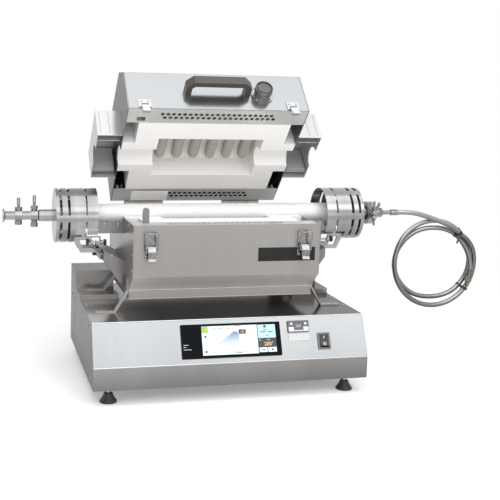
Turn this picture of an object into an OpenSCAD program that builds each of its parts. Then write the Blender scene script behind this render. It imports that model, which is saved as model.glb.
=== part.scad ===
/* [Base] */
// Width of the base, left to right
base_w = 600; // [560:10:680]
// Depth of the base, front to back
base_d = 430; // [410:5:470]
// Distance from the tube axis forward to the front of the base
base_front = 243; // [238:1:262]
// Clear height under the base
foot_h = 35; // [30:1:50]
// Height of the upright skirt below the control slope
skirt_h = 47; // [40:1:60]
// Height of the control slope
slope_h = 86; // [84:1:100]
// How far the control slope leans back
slope_run = 38; // [30:1:50]
// Thickness of the folded sheet of the base
sheet_t = 1.5; // [1:0.5:2.5]
// Thickness of the plate that closes the base from below
floor_t = 2; // [1.5:0.5:4]

/* [Rear steps of the base] */
// Width of each raised step at the rear corners
tower_w = 90; // [70:1:90]
// Height of the raised corner above the deck
tower_h = 52; // [40:1:60]
// Depth of the raised corner
tower_d = 99; // [90:1:102]
// Height of the low ledge in front of the raised corner
ledge_h = 12; // [8:1:20]
// Depth of the low ledge
ledge_d = 81; // [75:1:90]

/* [Levelling feet] */
// Radius of the rubber pad at the floor
pad_r = 18.5; // [16:0.5:24]
// Radius of the rubber pad at its top
pad_top_r = 9; // [8:0.5:14]
// Height of the rubber pad
pad_h = 20; // [16:1:24]
// Radius of the threaded stud
stud_r = 4; // [3:0.5:5]
// Distance from the side and the front of the base to each foot
foot_inset = 37; // [30:1:60]

/* [Control panel] */
// Width of the display glass
display_w = 219; // [180:1:235]
// Height of the display glass
display_h = 72; // [60:1:76]
// Offset of the display from the middle of the base
display_x = -4.5; // [-20:0.5:4]
// Thickness of the display glass
glass_t = 3; // [2:0.5:4]
// Depth of the housing behind the display
housing_deep = 26; // [15:1:30]
// Width of the limit controller
limiter_w = 48; // [44:1:56]
// Height of the limit controller
limiter_h = 25; // [22:0.5:30]
// Offset of the limit controller from the middle of the base
limiter_x = 147; // [142:1:150]
// Distance of the limit controller up the slope
limiter_up = 71; // [60:1:75]
// Radius of a push button of the limit controller
button_r = 2.6; // [2:0.1:3]
// Travel of a push button
button_travel = 1; // [0.5:0.1:1.5]
// Width of the frame of the rocker switch
rocker_w = 28; // [26:1:34]
// Height of the frame of the rocker switch
rocker_h = 36; // [34:1:40]
// Offset of the rocker switch from the middle of the base
rocker_x = 203; // [195:1:240]
// Distance of the rocker switch up the slope
rocker_up = 37.5; // [34:0.5:55]
// Angle that the rocker leans to either side
rocker_tilt = 8; // [5:1:10]

/* [Furnace body] */
// Width of the furnace body
body_w = 418; // [400:2:420]
// Depth of the furnace body
body_d = 336; // [330:2:350]
// Height of the parting plane above the floor
split_z = 365; // [360:1:380]
// Gap between the closed lid and the body
split_gap = 1; // [0.6:0.1:2]
// Height of the upright front of the lower body
body_front_h = 111; // [100:1:115]
// Depth of the slanted lower edge of the body
body_chamfer_d = 48; // [40:1:50]
// Height of the slanted lower edge of the body
body_chamfer_h = 38; // [30:1:40]
// Height of the narrow band at the bottom of the body
band_h = 19.5; // [12:0.5:22]
// Thickness of the casing sheet
casing_t = 1.5; // [1:0.5:2.5]
// Thickness of the end plates of body and lid
end_t = 2; // [1.5:0.5:3]

/* [Lid] */
// Height of the upright front of the closed lid
lid_front_h = 108; // [100:1:115]
// Depth of the slanted upper edge of the lid
lid_chamfer_d = 48; // [40:1:50]
// Height of the slanted upper edge of the lid
lid_chamfer_h = 46; // [40:1:50]
// Angle that the lid stands open
lid_open = 44; // [30:1:48]
// Distance of the hinge axis behind the body
hinge_back = 13; // [12:0.5:16]
// Height of the hinge axis above the parting plane
hinge_up = 6; // [6:0.5:8]
// Width of one hinge
hinge_w = 93; // [60:1:100]
// Distance of each hinge from the middle
hinge_x = 124.5; // [80:0.5:130]
// Radius of the hinge pin
pin_r = 3; // [2:0.5:3.5]
// Radius of the hinge knuckles
knuckle_r = 5.5; // [5:0.5:5.5]

/* [Heated chamber] */
// Width of the insulation block
block_w = 356; // [340:2:370]
// Depth of the insulation block
block_d = 240; // [230:2:244]
// Width of the narrow ends of the insulation that carry the tube
neck_d = 102; // [90:2:120]
// Length of the heated chamber
chamber_w = 250; // [240:2:270]
// Depth of the heated chamber
chamber_d = 132; // [120:2:140]
// Radius of the ceramic rods that hold the heating wire
rod_r = 12.5; // [10:0.5:14]
// Distance between neighbouring rods
rod_pitch = 41.2; // [36:0.2:42]
// Number of rods in each half
rod_count = 6; // [4:1:6]
// Distance of the rods from the parting plane
rod_level = 43; // [42:0.5:50]
// Length of a rod
rod_len = 112; // [90:1:116]
// Radius of the groove that clears the tube
groove_r = 28; // [27.5:0.5:32]
// Radius of the holes in the rim strips
perf_r = 4.6; // [3.5:0.1:4.8]
// Distance between neighbouring holes of the rim strips
perf_pitch = 12.6; // [11:0.1:14]

/* [Work tube] */
// Outer radius of the ceramic tube
tube_r = 25; // [20:0.5:26]
// Wall of the ceramic tube
tube_wall = 4; // [3:0.5:6]
// Length of the ceramic tube
tube_len = 700; // [696:2:702]

/* [End guards] */
// Outer radius of the slotted guards
guard_r = 60.5; // [57:0.5:66]
// Wall of the slotted guards
guard_t = 1.5; // [1:0.5:2]
// Length of each guard along the tube
guard_len = 92; // [88:1:92]
// Distance that the guards reach past the ends of the tube
guard_past = 10; // [9:0.5:16]
// Width of the wide slots in the guards
slot_w = 6; // [4:0.5:7]
// Number of slots around a guard
slot_count = 6; // [4:1:8]
// Width of the bridge between two slots, in degrees
slot_bridge = 14; // [10:1:24]

/* [Tube supports] */
// Distance that the brackets reach out from the body
bracket_reach = 49; // [46:1:52]
// Distance between the two sides of a bracket
bracket_d = 156; // [140:2:160]
// Thickness of the bracket sheet
bracket_t = 3; // [2:0.5:3]
// Gap between the end trays and pockets and the guards
guard_gap = 2; // [1:0.5:4]
// Width of the lid pockets
pocket_d = 152; // [140:2:156]
// Height of the lid pockets
pocket_h = 75; // [65:1:80]
// Width of the end trays
tray_d = 96; // [80:2:110]
// Depth of the end trays
tray_h = 26; // [20:1:28]
// Radius of the thumb screw head
thumb_r = 10; // [8:0.5:12]

/* [Gas and vacuum fittings] */
// Distance from each guard out to the end of its pipe or hose sleeve
pipe_out = 113; // [106:1:130]
// Radius of the necks on the guards
neck_r = 13.25; // [12:0.25:14]
// Radius of the gas pipe
pipe_r = 9.5; // [8.5:0.5:11]
// Radius of the small flange at the end of the gas pipe
pipe_flange_r = 15; // [13:0.5:20]
// Radius of the vacuum flanges
vac_flange_r = 20; // [18:0.5:22]
// Outer radius of the clamp ring
clamp_r = 27; // [26:0.5:30]
// Radius of the clamp bolt
clamp_bolt_r = 2.5; // [2:0.25:3]
// Radius of the hose
hose_r = 6; // [5:0.5:6]

/* [Latches] */
// Distance of each latch from the middle
latch_x = 171; // [150:1:180]
// Width of the latch plate
latch_w = 30; // [28:1:36]
// Height of the latch plate
latch_h = 57.5; // [54:0.5:62]
// Radius of the lever pin and of the bail wire
wire_r = 1.25; // [1:0.05:1.3]
// Length of the bail
bail_len = 42; // [38:1:44]
// Angle that the open bail leans away from the body
bail_lean = 15; // [14:1:24]

/* [Handle and vent] */
// Width of the handle
handle_w = 151; // [130:1:170]
// Distance that the handle stands off the lid
handle_out = 38; // [32:1:50]
// Thickness of the handle bar, seen from above
handle_bar = 13; // [12:1:18]
// Height of the handle bar
handle_t = 22; // [16:1:26]
// Radius of the vent
vent_r = 20; // [16:0.5:24]
// Length of the vent
vent_len = 26; // [24:1:40]
// Distance of the vent from the middle
vent_x = 104; // [102:1:120]
// Distance that the vent sits below the handle
vent_drop = 8; // [0:1:12]

/* [Hidden] */
$fn = 48;

// Clearances: a running fit, a close seat and a loose cut-out
fit = 0.1;
seat = 0.2;
loose = 0.5;
// Extra depth of a cut, so that it leaves no skin
over = 1;

base_y0 = -base_front;
base_y1 = base_d - base_front;
skirt_z = foot_h + skirt_h;
deck_z = skirt_z + slope_h;
slope_a = atan(slope_run / slope_h);
slope_len = norm([slope_run, slope_h]);
display_up = slope_len / 2;

half_w = body_w / 2;
half_d = body_d / 2;
shell_w = body_w - 2 * end_t;
body_top = split_z - split_gap / 2;
lid_low = split_z + split_gap / 2;
body_low = body_top - body_front_h - body_chamfer_h - band_h;
lid_top = lid_low + lid_front_h + lid_chamfer_h;
hinge_y = half_d + hinge_back;
hinge_z = split_z + hinge_up;
rim_d = half_d - casing_t - block_d / 2;
chamber_h = rod_level + rod_r + seat;

guard_out = tube_len / 2 + guard_past;
guard_in = guard_out - guard_len;
pocket_reach = guard_in - guard_gap - half_w;
end_reach = guard_out + pipe_out;

face_y = -half_d;
latch_z0 = body_top - 70.5;
lever_pin = [face_y - 9, latch_z0 + 24];
bail_pin = lever_pin + [-4, -9];
lever_w = 16.6;
bail_leg_x = 12;
keeper_w = 28;
keeper_h = 22;
tongue_y = -block_d / 2 - 9.5;
tongue_x = -176;
tongue_w = 15;
tongue_h = 33;

tray_low = body_top - 34.5;
clamp_x = guard_out + 36;
clamp_len = 16;
rocker_pivot = 4;

// Side view of the base, front edge first
base_pts = [[base_y0, foot_h], [base_y1, foot_h], [base_y1, deck_z],
    [base_y0 + slope_run, deck_z], [base_y0, skirt_z]];
tower_pts = [[base_y1, deck_z], [base_y1, deck_z + tower_h],
    [base_y1 - tower_d, deck_z + tower_h],
    [base_y1 - tower_d, deck_z + ledge_h],
    [base_y1 - tower_d - ledge_d, deck_z + ledge_h],
    [base_y1 - tower_d - ledge_d, deck_z]];
// End view of the furnace body and of the closed lid
body_pts = [[-half_d, body_top], [-half_d, body_top - body_front_h],
    [body_chamfer_d - half_d, body_low + band_h],
    [body_chamfer_d - half_d, body_low],
    [half_d - body_chamfer_d, body_low],
    [half_d - body_chamfer_d, body_low + band_h],
    [half_d, body_top - body_front_h], [half_d, body_top]];
lid_pts = [[half_d, lid_low], [half_d, lid_low + lid_front_h],
    [half_d - lid_chamfer_d, lid_top], [lid_chamfer_d - half_d, lid_top],
    [-half_d, lid_low + lid_front_h], [-half_d, lid_low]];

// The outline moved inwards by t, for points that run anticlockwise
function unit(v) = v / norm(v);
function side(a, b) = unit([a[1] - b[1], b[0] - a[0]]);
function inset(p, t) = [for (i = [0:len(p) - 1])
    let (n = len(p), b = p[i],
        u = side(p[(i + n - 1) % n], b), v = side(b, p[(i + 1) % n]))
    b + t * (u + v) / (1 + u * v)];
function arc(c, r, a0, a1, n) = [for (i = [0:n])
    let (a = a0 + (a1 - a0) * i / n) c + r * [cos(a), sin(a)]];

// A prism along X from points in Y and Z
module prism_x(points, w) {
  translate([-w / 2, 0, 0]) rotate([90, 0, 90])
    linear_extrude(w) polygon(points);
}

// A prism along Y from points in X and Z
module prism_y(points, w) {
  translate([0, w / 2, 0]) rotate([90, 0, 0])
    linear_extrude(w) polygon(points);
}

// Turns a shape drawn up Z so that it runs along +X from x, on the tube axis
module along_x(x = 0) {
  translate([x, 0, split_z]) rotate([0, 90, 0]) children();
}

// A tube or a solid cylinder along X between two places, on the tube axis
module bar_x(x0, x1, r, bore = 0) {
  along_x(x0) difference() {
    cylinder(r = r, h = x1 - x0);
    if (bore > 0) {
      translate([0, 0, -over]) cylinder(r = bore, h = x1 - x0 + 2 * over);
    }
  }
}

module pin_x(x0, x1, at, r) {
  translate([x0, at[0], at[1]]) rotate([0, 90, 0])
    cylinder(r = r, h = x1 - x0);
}

// Mirrors a right-hand piece to the left where side is -1
module sided(s) {
  mirror([s < 0 ? 1 : 0, 0, 0]) children();
}

module rounded_plate(w, h, t, r) {
  linear_extrude(t) union() {
    square([w - 2 * r, h], center = true);
    square([w, h - 2 * r], center = true);
    for (x = [-1, 1], y = [-1, 1]) {
      translate([x * (w / 2 - r), y * (h / 2 - r)]) circle(r);
    }
  }
}

// Places a shape on the control slope, its own Z pointing out of the panel
module on_slope(x, up) {
  translate([x, base_y0 + up * sin(slope_a), skirt_z + up * cos(slope_a)])
    rotate([90 - slope_a, 0, 0]) children();
}

module at_feet() {
  for (x = [-1, 1], y = [base_y0 + foot_inset, base_y1 - foot_inset]) {
    translate([x * (base_w / 2 - foot_inset), y, 0]) children();
  }
}

// Turns a piece of the closed lid to where the open lid stands
module opened() {
  translate([0, hinge_y, hinge_z]) rotate([-lid_open, 0, 0])
    translate([0, -hinge_y, -hinge_z]) children();
}

module base_shell() {
  wall = 2 * sheet_t;
  color("gainsboro") difference() {
    prism_x(base_pts, base_w);
    prism_x(inset(base_pts, sheet_t), base_w - wall);
    translate([0, 0, -over])
      linear_extrude(foot_h + 2 * sheet_t + over)
      translate([sheet_t - base_w / 2, base_y0 + sheet_t])
      square([base_w - wall, base_d - wall]);
    on_slope(display_x, display_up)
      cube([display_w - 6, display_h - 6, 12], center = true);
    on_slope(limiter_x, limiter_up)
      cube([limiter_w - 3, limiter_h - 2.5, 12], center = true);
    on_slope(rocker_x, rocker_up)
      cube([rocker_w - 3, rocker_h - 3, 12], center = true);
    translate([inlet_x, base_y1, inlet_z])
      cube([inlet_w - 8, 12, inlet_h - 4], center = true);
    for (i = [0:9], j = [0:1]) {
      translate([-200 + 22 * i, base_y1, skirt_z + 8 + 42 * j])
        cube([6, 12, 32], center = true);
    }
  }
}

// Folded housings with a step in front, one on each rear corner of the deck
module base_steps() {
  color("gainsboro") for (s = [-1, 1]) {
    translate([s * (base_w - tower_w) / 2, 0, 0]) difference() {
      prism_x(tower_pts, tower_w);
      translate([0, 0, -2 * sheet_t])
        prism_x(inset([for (p = tower_pts) p + [0,
          p[1] > deck_z ? 2 * sheet_t : 0]], sheet_t),
          tower_w - 2 * sheet_t);
    }
  }
}

module base_floor_plate() {
  color("silver") difference() {
    translate([sheet_t + seat - base_w / 2, base_y0 + sheet_t + seat, foot_h])
      cube([base_w - 2 * (sheet_t + seat), base_d - 2 * (sheet_t + seat),
        floor_t]);
    at_feet() cylinder(r = stud_r + seat, h = 3 * foot_h);
  }
}

module foot_pads() {
  color("#202020") at_feet() difference() {
    union() {
      cylinder(r = pad_r, h = 4);
      translate([0, 0, 4]) cylinder(r1 = pad_r, r2 = pad_top_r, h = pad_h - 4);
    }
    translate([0, 0, pad_h - 10]) cylinder(r = stud_r + seat, h = 10 + over);
  }
}

module foot_studs() {
  nut_r = 2 * stud_r - 0.5;
  color("silver") at_feet() {
    translate([0, 0, pad_h - 10 + seat])
      cylinder(r = stud_r, h = foot_h + 22 - pad_h);
    translate([0, 0, foot_h - 7]) cylinder(r = nut_r, h = 7, $fn = 6);
    translate([0, 0, foot_h + floor_t]) cylinder(r = nut_r, h = 5, $fn = 6);
  }
}

module display_housing() {
  color("#303030") on_slope(display_x, display_up) {
    translate([0, 0, -housing_deep / 2])
      cube([display_w - 7, display_h - 7, housing_deep], center = true);
  }
}

module display_glass() {
  color("#101214") on_slope(display_x, display_up)
    rounded_plate(display_w, display_h, glass_t, 2);
}

// Places of the two push buttons, at the upper corners of the limit controller
button_dx = limiter_w / 2 - 8;
button_up = limiter_up + limiter_h / 2 - 6.9;
bezel_t = 4;
module limiter_case() {
  color("#d8d8d8") difference() {
    on_slope(limiter_x, limiter_up) {
      rounded_plate(limiter_w, limiter_h, bezel_t, 2);
      translate([0, 0, -20])
        cube([limiter_w - 4, limiter_h - 3.5, 40], center = true);
    }
    on_slope(limiter_x, limiter_up + 1) translate([0, 0, bezel_t])
      cube([limiter_w - 26, limiter_h - 10, 1.6], center = true);
    for (s = [-1, 1]) {
      on_slope(limiter_x + s * button_dx, button_up)
        translate([0, 0, -button_travel - 0.3])
        cylinder(r = button_r + fit, h = 12);
    }
  }
}

module limiter_button(s) {
  color("white") on_slope(limiter_x + s * button_dx, button_up)
    cylinder(r = button_r, h = bezel_t + button_travel + 0.2);
}

module rocker_frame() {
  color("#2c2c2c") on_slope(rocker_x, rocker_up) difference() {
    union() {
      rounded_plate(rocker_w, rocker_h, 2.5, 1.5);
      translate([0, 0, -12])
        cube([rocker_w - 4, rocker_h - 4, 24], center = true);
    }
    translate([0, 0, -6])
      cube([rocker_w - 8, rocker_h - 7.4, 26], center = true);
    pin_x(3 - rocker_w / 2, rocker_w / 2 - 3, [0, -rocker_pivot],
      pin_r / 2 + fit);
  }
}

module rocker_switch() {
  long = rocker_h / 2 - 5;
  color("#181818") on_slope(rocker_x, rocker_up)
    translate([0, 0, -rocker_pivot]) rotate([-rocker_tilt, 0, 0]) union() {
      prism_x([[-long, 4], [-5, -7], [5, -7], [long, 4],
        [long, 8.6], [0, 6], [-long, 8.6]], rocker_w - 9);
      pin_x(3 - rocker_w / 2, rocker_w / 2 - 3, [0, 0], pin_r / 2);
    }
}

// Place and size of the mains inlet on the rear
inlet_x = 215;
inlet_z = 84;
inlet_w = 50;
inlet_h = 28;
module power_inlet() {
  color("#1c1c1c") translate([inlet_x, base_y1, inlet_z]) {
    difference() {
      union() {
        translate([0, 3, 0]) rotate([90, 0, 0])
          rounded_plate(inlet_w, inlet_h, 3, 3);
        translate([0, -11, 0])
          cube([inlet_w - 20, 22, inlet_h - 6], center = true);
      }
      translate([0, -6, 0])
        cube([inlet_w - 26, 24, inlet_h - 11], center = true);
    }
    for (x = [-1, 0, 1]) {
      translate([7 * x, -12, x == 0 ? 2 : -2]) cube([2, 15, 4], center = true);
    }
  }
}

// Finned heat sink with a relay in front of it, on the plate inside the base
fin_pitch = 11;
fin_count = 12;
fin_t = 2.5;
relay_w = 86;
module relay_heatsink() {
  wide = fin_pitch * (fin_count - 1) + fin_t;
  deep = base_d * 0.21;
  plate = 6;
  tall = skirt_h * 0.8;
  color("dimgray") translate([base_w / 10, 0, foot_h + floor_t]) {
    cube([wide, deep, plate]);
    for (i = [0:fin_count - 1]) {
      translate([fin_pitch * i, 0, plate - 1]) cube([fin_t, deep, tall]);
    }
    translate([(wide - relay_w) / 2, -32, 0]) cube([relay_w, 28, tall]);
    translate([(wide - relay_w) / 2, -5, 0]) cube([relay_w, 6, plate]);
  }
}

module body_shell() {
  color("#a8a5a2") difference() {
    prism_x(body_pts, shell_w);
    prism_x(inset(body_pts, casing_t), shell_w + 2 * over);
    translate([0, 0, body_top]) cube([shell_w + 2 * over,
      body_d - 2 * casing_t, 40], center = true);
  }
}

// One end plate, cut round the tube, from the outline of body or lid
module end_plate(points) {
  difference() {
    translate([half_w - end_t / 2, 0, 0]) prism_x(points, end_t);
    bar_x(half_w - end_t - over, half_w + over, groove_r);
  }
}

module body_ends() {
  color("#b4b1ae") for (s = [-1, 1]) {
    sided(s) end_plate(body_pts);
  }
}

// The perforated strips that edge the mating face at front and rear
module rim_strips(z) {
  holes = floor((shell_w - 140) / perf_pitch);
  wide = shell_w - 2 * seat;
  for (s = [-1, 1]) {
    translate([0, s * (half_d - casing_t - rim_d / 2), z])
      linear_extrude(casing_t) difference() {
        square([wide, rim_d - 2 * seat], center = true);
        for (i = [0:holes - 1], row = [-1, 1]) {
          translate([(i - (holes - 1) / 2 + row / 4) * perf_pitch,
            row * perf_pitch * 0.44]) circle(perf_r, $fn = 24);
        }
      }
  }
}

module body_rim() {
  color("#c4c2c0") rim_strips(body_top - casing_t);
}

// Half of the insulation, with its mating face at height 0 and growing down
module insulation_half(total) {
  step = 104;
  color("#ece7e0") difference() {
    union() {
      translate([-block_w / 2, -block_d / 2, -step])
        cube([block_w, block_d, step]);
      translate([-block_w / 2, 6 - half_d + body_chamfer_d, -total])
        cube([block_w, 2 * (half_d - body_chamfer_d - 6), total - step + 1]);
      translate([-shell_w / 2, -neck_d / 2, -step + 20])
        cube([shell_w, neck_d, step - 20]);
    }
    translate([-chamber_w / 2, -chamber_d / 2, -chamber_h])
      cube([chamber_w, chamber_d, chamber_h + over]);
    translate([-shell_w / 2 - over, 0, split_gap / 2]) rotate([0, 90, 0])
      cylinder(r = groove_r, h = shell_w + 2 * over);
  }
}

module heating_rods() {
  color("#bfb6a8") for (i = [0:rod_count - 1]) {
    translate([(i - (rod_count - 1) / 2) * rod_pitch, -chamber_d / 2,
      -rod_level]) rotate([-90, 0, 0]) union() {
        cylinder(r = rod_r, h = rod_len - rod_r);
        translate([0, 0, rod_len - rod_r]) sphere(r = rod_r);
      }
  }
}

module body_insulation() {
  translate([0, 0, body_top])
    insulation_half(body_top - body_low - casing_t);
}

module body_heating_rods() {
  translate([0, 0, body_top]) heating_rods();
}

// A slanted strut from the body end down to a foot plate on the base
leg_w = 14;
module leg(y, z0) {
  tab = 16;
  top = body_low + 44;
  x2 = half_w + 27;
  x3 = half_w + 71;
  hole_x = x3 - 13;
  translate([0, y, 0]) difference() {
    prism_y([[half_w, top], [half_w, body_low + tab], [x2, z0], [x3, z0],
      [x3, z0 + bracket_t], [x2 + 2, z0 + bracket_t],
      [half_w + bracket_t, body_low + tab + 2], [half_w + bracket_t, top]],
      leg_w);
    translate([hole_x, 0, z0 - over]) cylinder(r = 3, h = 10);
  }
}

module leg_brackets() {
  behind = 22;
  color("#8f8c89") for (s = [-1, 1]) {
    sided(s) {
      leg(leg_w / 2 + 1 - half_d + body_chamfer_d, deck_z);
      leg(base_y1 - tower_d - leg_w / 2 - behind, deck_z + ledge_h);
    }
  }
}

// Open tray of folded sheet below the tube, outside each end
module end_trays() {
  t = casing_t;
  color("#b9b7b4") for (s = [-1, 1]) {
    sided(s) difference() {
      translate([half_w, -tray_d / 2, tray_low])
        cube([pocket_reach, tray_d, tray_h]);
      translate([half_w - over, t - tray_d / 2, tray_low + t])
        cube([pocket_reach - t + over, tray_d - 2 * t, tray_h]);
      bar_x(half_w, half_w + pocket_reach + over, groove_r);
    }
  }
}

// Folded bracket under each tray, with a slanted top and an upright lip
lip_x = half_w + bracket_reach;
saddle_d = 60;
module tube_brackets() {
  t = bracket_t;
  below = 92.5;
  rise = 24;
  web_h = 51;
  web_w = 11;
  z1 = body_top - below;
  z2 = z1 + rise;
  outline = [[half_w, z1 - web_h], [half_w + web_w, z1 - web_h],
    [lip_x, z1 + 2], [lip_x, z2], [half_w, z1]];
  color("#c9c7c5") for (s = [-1, 1]) {
    sided(s) difference() {
      union() {
        for (y = [-1, 1]) {
          translate([0, y * (bracket_d - t) / 2, 0]) prism_y(outline, t);
        }
        prism_y([[half_w, z1 - t], [lip_x, z2 - t], [lip_x, z2],
          [half_w, z1]], bracket_d - t);
        prism_y([[lip_x - t, z1 - 4], [lip_x, z1 - 4], [lip_x, z2],
          [lip_x - t, z2]], saddle_d);
      }
      bolt_hole();
    }
  }
}

// Hole for the thumb screw through bracket lip and cradle
thumb_z = body_top - 82;
thumb_bolt_r = 3;
module bolt_hole() {
  translate([lip_x - 12, 0, thumb_z]) rotate([0, 90, 0])
    cylinder(r = thumb_bolt_r + fit, h = 30);
}

// Fork that carries the outer end of the tube on a rounded saddle
module cradle() {
  t = bracket_t;
  x1 = lip_x;
  z1 = thumb_z - 14;
  z2 = thumb_z + 14;
  x2 = guard_in + 30;
  bend = x2 + 6;
  end = x2 + 20;
  z3 = z2 + 24;
  bar = 8;
  bar_w = 6;
  saddle_h = 42;
  run = z2 - 12;
  loop = [[x1, run], [bend, run], [end, z3 - bar], [end, z3],
    [x2 - 14, z3], [x2 - 14, z3 - bar], [bend + 2, z3 - bar],
    [bend - 5, run + bar], [x1, run + bar]];
  color("#8b8986") difference() {
    union() {
      translate([x1, -saddle_d / 2, z1]) cube([t, saddle_d, z2 - z1]);
      for (y = [-1, 1]) {
        translate([0, y * (saddle_d - bar_w) / 2, 0]) prism_y(loop, bar_w);
      }
      translate([x2 - 4, -saddle_d / 2, z3 - bar])
        cube([8, saddle_d, saddle_h]);
      translate([end - 4, -saddle_d / 2, z3 - bar_w])
        cube([4, saddle_d, bar_w]);
    }
    bar_x(x1, x2 + 40, tube_r + fit);
    bolt_hole();
  }
}
module thumb_screw() {
  x0 = lip_x + bracket_t;
  color("#1e1e1e") translate([x0, 0, thumb_z]) rotate([0, 90, 0]) {
    difference() {
      cylinder(r = thumb_r, h = 12);
      for (i = [0:5]) {
        rotate(60 * i) translate([thumb_r + 1.5, 0, -over])
          cylinder(r = 3, h = 12 + 2 * over);
      }
    }
    translate([0, 0, -2 * bracket_t - 3])
      cylinder(r = thumb_bolt_r, h = 2 * bracket_t + 4);
  }
}

// Base plate of a draw latch, with two ears and the lever pin
module latch_plate() {
  ear_t = 1.5;
  ear_x = lever_w / 2 + seat;
  color("#d0d0d2") translate([latch_x, 0, 0]) union() {
    translate([0, face_y, latch_z0 + latch_h / 2]) rotate([90, 0, 0])
      rounded_plate(latch_w, latch_h, 2, 4);
    for (s = [-1, 1]) {
      translate([s * (ear_x + ear_t / 2), 0, 0]) prism_x([
        for (p = arc(lever_pin, 4, 120, 240, 8)) p,
        [face_y - 1, lever_pin[1] - 9], [face_y - 1, lever_pin[1] + 9]],
        ear_t);
    }
    pin_x(-ear_x - 1, ear_x + 1, lever_pin, wire_r + 0.25);
  }
}

// Lever with a rolled eye, a lip at its lower end and a bore for the bail
module latch_lever() {
  r = 3.2;
  color("#e2e2e4") translate([latch_x, 0, 0]) difference() {
    union() {
      pin_x(-lever_w / 2, lever_w / 2, lever_pin, r);
      pin_x(-lever_w / 2, lever_w / 2, bail_pin, 2.6);
      prism_x([lever_pin + [0, -r], lever_pin + [1, -2],
        bail_pin + [2.6, -7], bail_pin + [0, -16], bail_pin + [-5, -21],
        bail_pin + [-7.5, -19.5], bail_pin + [-2.5, -14],
        bail_pin + [-2.6, 0], lever_pin + [-r, 0]], lever_w);
    }
    pin_x(-20, 20, lever_pin, wire_r + 0.25 + fit);
    pin_x(-20, 20, bail_pin, wire_r + fit);
  }
}

// Wire loop that reaches up from the lever to the keeper
module latch_bail() {
  bend = 4;
  top = bail_len - bend;
  color("#ececee") translate([latch_x, bail_pin[0], bail_pin[1]])
    rotate([bail_lean, 0, 0]) union() {
      rotate([0, 90, 0]) translate([0, 0, -bail_leg_x - wire_r])
        cylinder(r = wire_r, h = 2 * (bail_leg_x + wire_r), $fn = 24);
      for (s = [-1, 1]) {
        sided(s) {
          translate([bail_leg_x, 0, 0]) cylinder(r = wire_r, h = top, $fn = 24);
          translate([bail_leg_x - bend, 0, top]) rotate([90, 0, 0])
            rotate_extrude(angle = 90) translate([bend, 0])
            circle(wire_r, $fn = 24);
        }
      }
      translate([bend - bail_leg_x, 0, bail_len]) rotate([0, 90, 0])
        cylinder(r = wire_r, h = 2 * (bail_leg_x - bend), $fn = 24);
    }
}

// Thin tongue that enters the lid and works the safety switch
module interlock_tongue() {
  r = tongue_w / 2;
  color("#d4d4d6") translate([tongue_x, tongue_y - 1, body_top]) {
    translate([0, 2, 0]) rotate([90, 0, 0]) linear_extrude(2) union() {
      translate([-r, 0]) square([tongue_w, tongue_h - r]);
      translate([0, tongue_h - r]) circle(r);
    }
    translate([-r, -6, 0]) cube([tongue_w, 7, 1.5]);
  }
}

// Thickness of the hinge leaves
leaf_t = 3;
// Knuckle on the pin with the web to its leaf, above (1) or below (-1) the pin
module knuckle(x0, x1, up) {
  near = hinge_z + up * 3.5;
  difference() {
    union() {
      pin_x(x0, x1, [hinge_y, hinge_z], knuckle_r);
      translate([(x0 + x1) / 2, 0, 0]) prism_x([[half_d, near],
        [half_d, near - up * 2.5], [hinge_y, hinge_z + up],
        [hinge_y, hinge_z + up * knuckle_r], [half_d + leaf_t, near + up * 6],
        [half_d, near + up * 6]], x1 - x0);
    }
    pin_x(x0 - over, x1 + over, [hinge_y, hinge_z], pin_r + fit);
  }
}

knuckle_w = (hinge_w - 2 * loose) / 3;
module leaf_plate(z0, z1) {
  translate([-hinge_w / 2, half_d, z0]) cube([hinge_w, leaf_t, z1 - z0]);
}

module hinge_leaves() {
  color("#cfcfcf") for (s = [-1, 1]) {
    translate([s * hinge_x, 0, 0]) union() {
      leaf_plate(body_top - 44, body_top - 1);
      knuckle(-hinge_w / 2, knuckle_w - hinge_w / 2, -1);
      knuckle(hinge_w / 2 - knuckle_w, hinge_w / 2, -1);
    }
  }
}

module hinge_pins() {
  color("silver") for (s = [-1, 1]) {
    translate([s * hinge_x, 0, 0]) {
      pin_x(-hinge_w / 2 - 1, hinge_w / 2 + 1, [hinge_y, hinge_z], pin_r);
      for (e = [-1, 1]) {
        sided(e) pin_x(hinge_w / 2 + seat, hinge_w / 2 + 2,
          [hinge_y, hinge_z], pin_r + 1);
      }
    }
  }
}

module lid_hinge_leaves() {
  color("#cfcfcf") opened() for (s = [-1, 1]) {
    translate([s * hinge_x, 0, 0]) union() {
      leaf_plate(hinge_z + 5, hinge_z + 42);
      knuckle(-knuckle_w / 2, knuckle_w / 2, 1);
    }
  }
}

module work_tube() {
  color("#f6f4f0") bar_x(-tube_len / 2, tube_len / 2, tube_r,
    tube_r - tube_wall);
}

// Slotted drum round the tube end, closed by a disc at its outer end
module guard() {
  long = guard_len;
  sector = 360 / slot_count - slot_bridge;
  slots = [[23.5, slot_w / 2 + 1], [61, slot_w], [78.5, slot_w]];
  color("#d9dcde") difference() {
    along_x(guard_in) difference() {
      cylinder(r = guard_r, h = long, $fn = 96);
      translate([0, 0, -over])
        cylinder(r = guard_r - guard_t, h = long - guard_t + over, $fn = 96);
      cylinder(r = neck_r + seat, h = long + over);
      for (slot = slots, i = [0:slot_count - 1]) {
        translate([0, 0, slot[0]])
          rotate(i * 360 / slot_count + slot_bridge / 2 - 90)
          rotate_extrude(angle = sector, $fn = 96)
          translate([guard_r - guard_t - over, 0])
          square([guard_t + 2 * over, slot[1]]);
      }
    }
    translate([guard_in - over, -guard_r, split_z - guard_r - over])
      cube([52, 2 * guard_r, 23.5]);
  }
}

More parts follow.
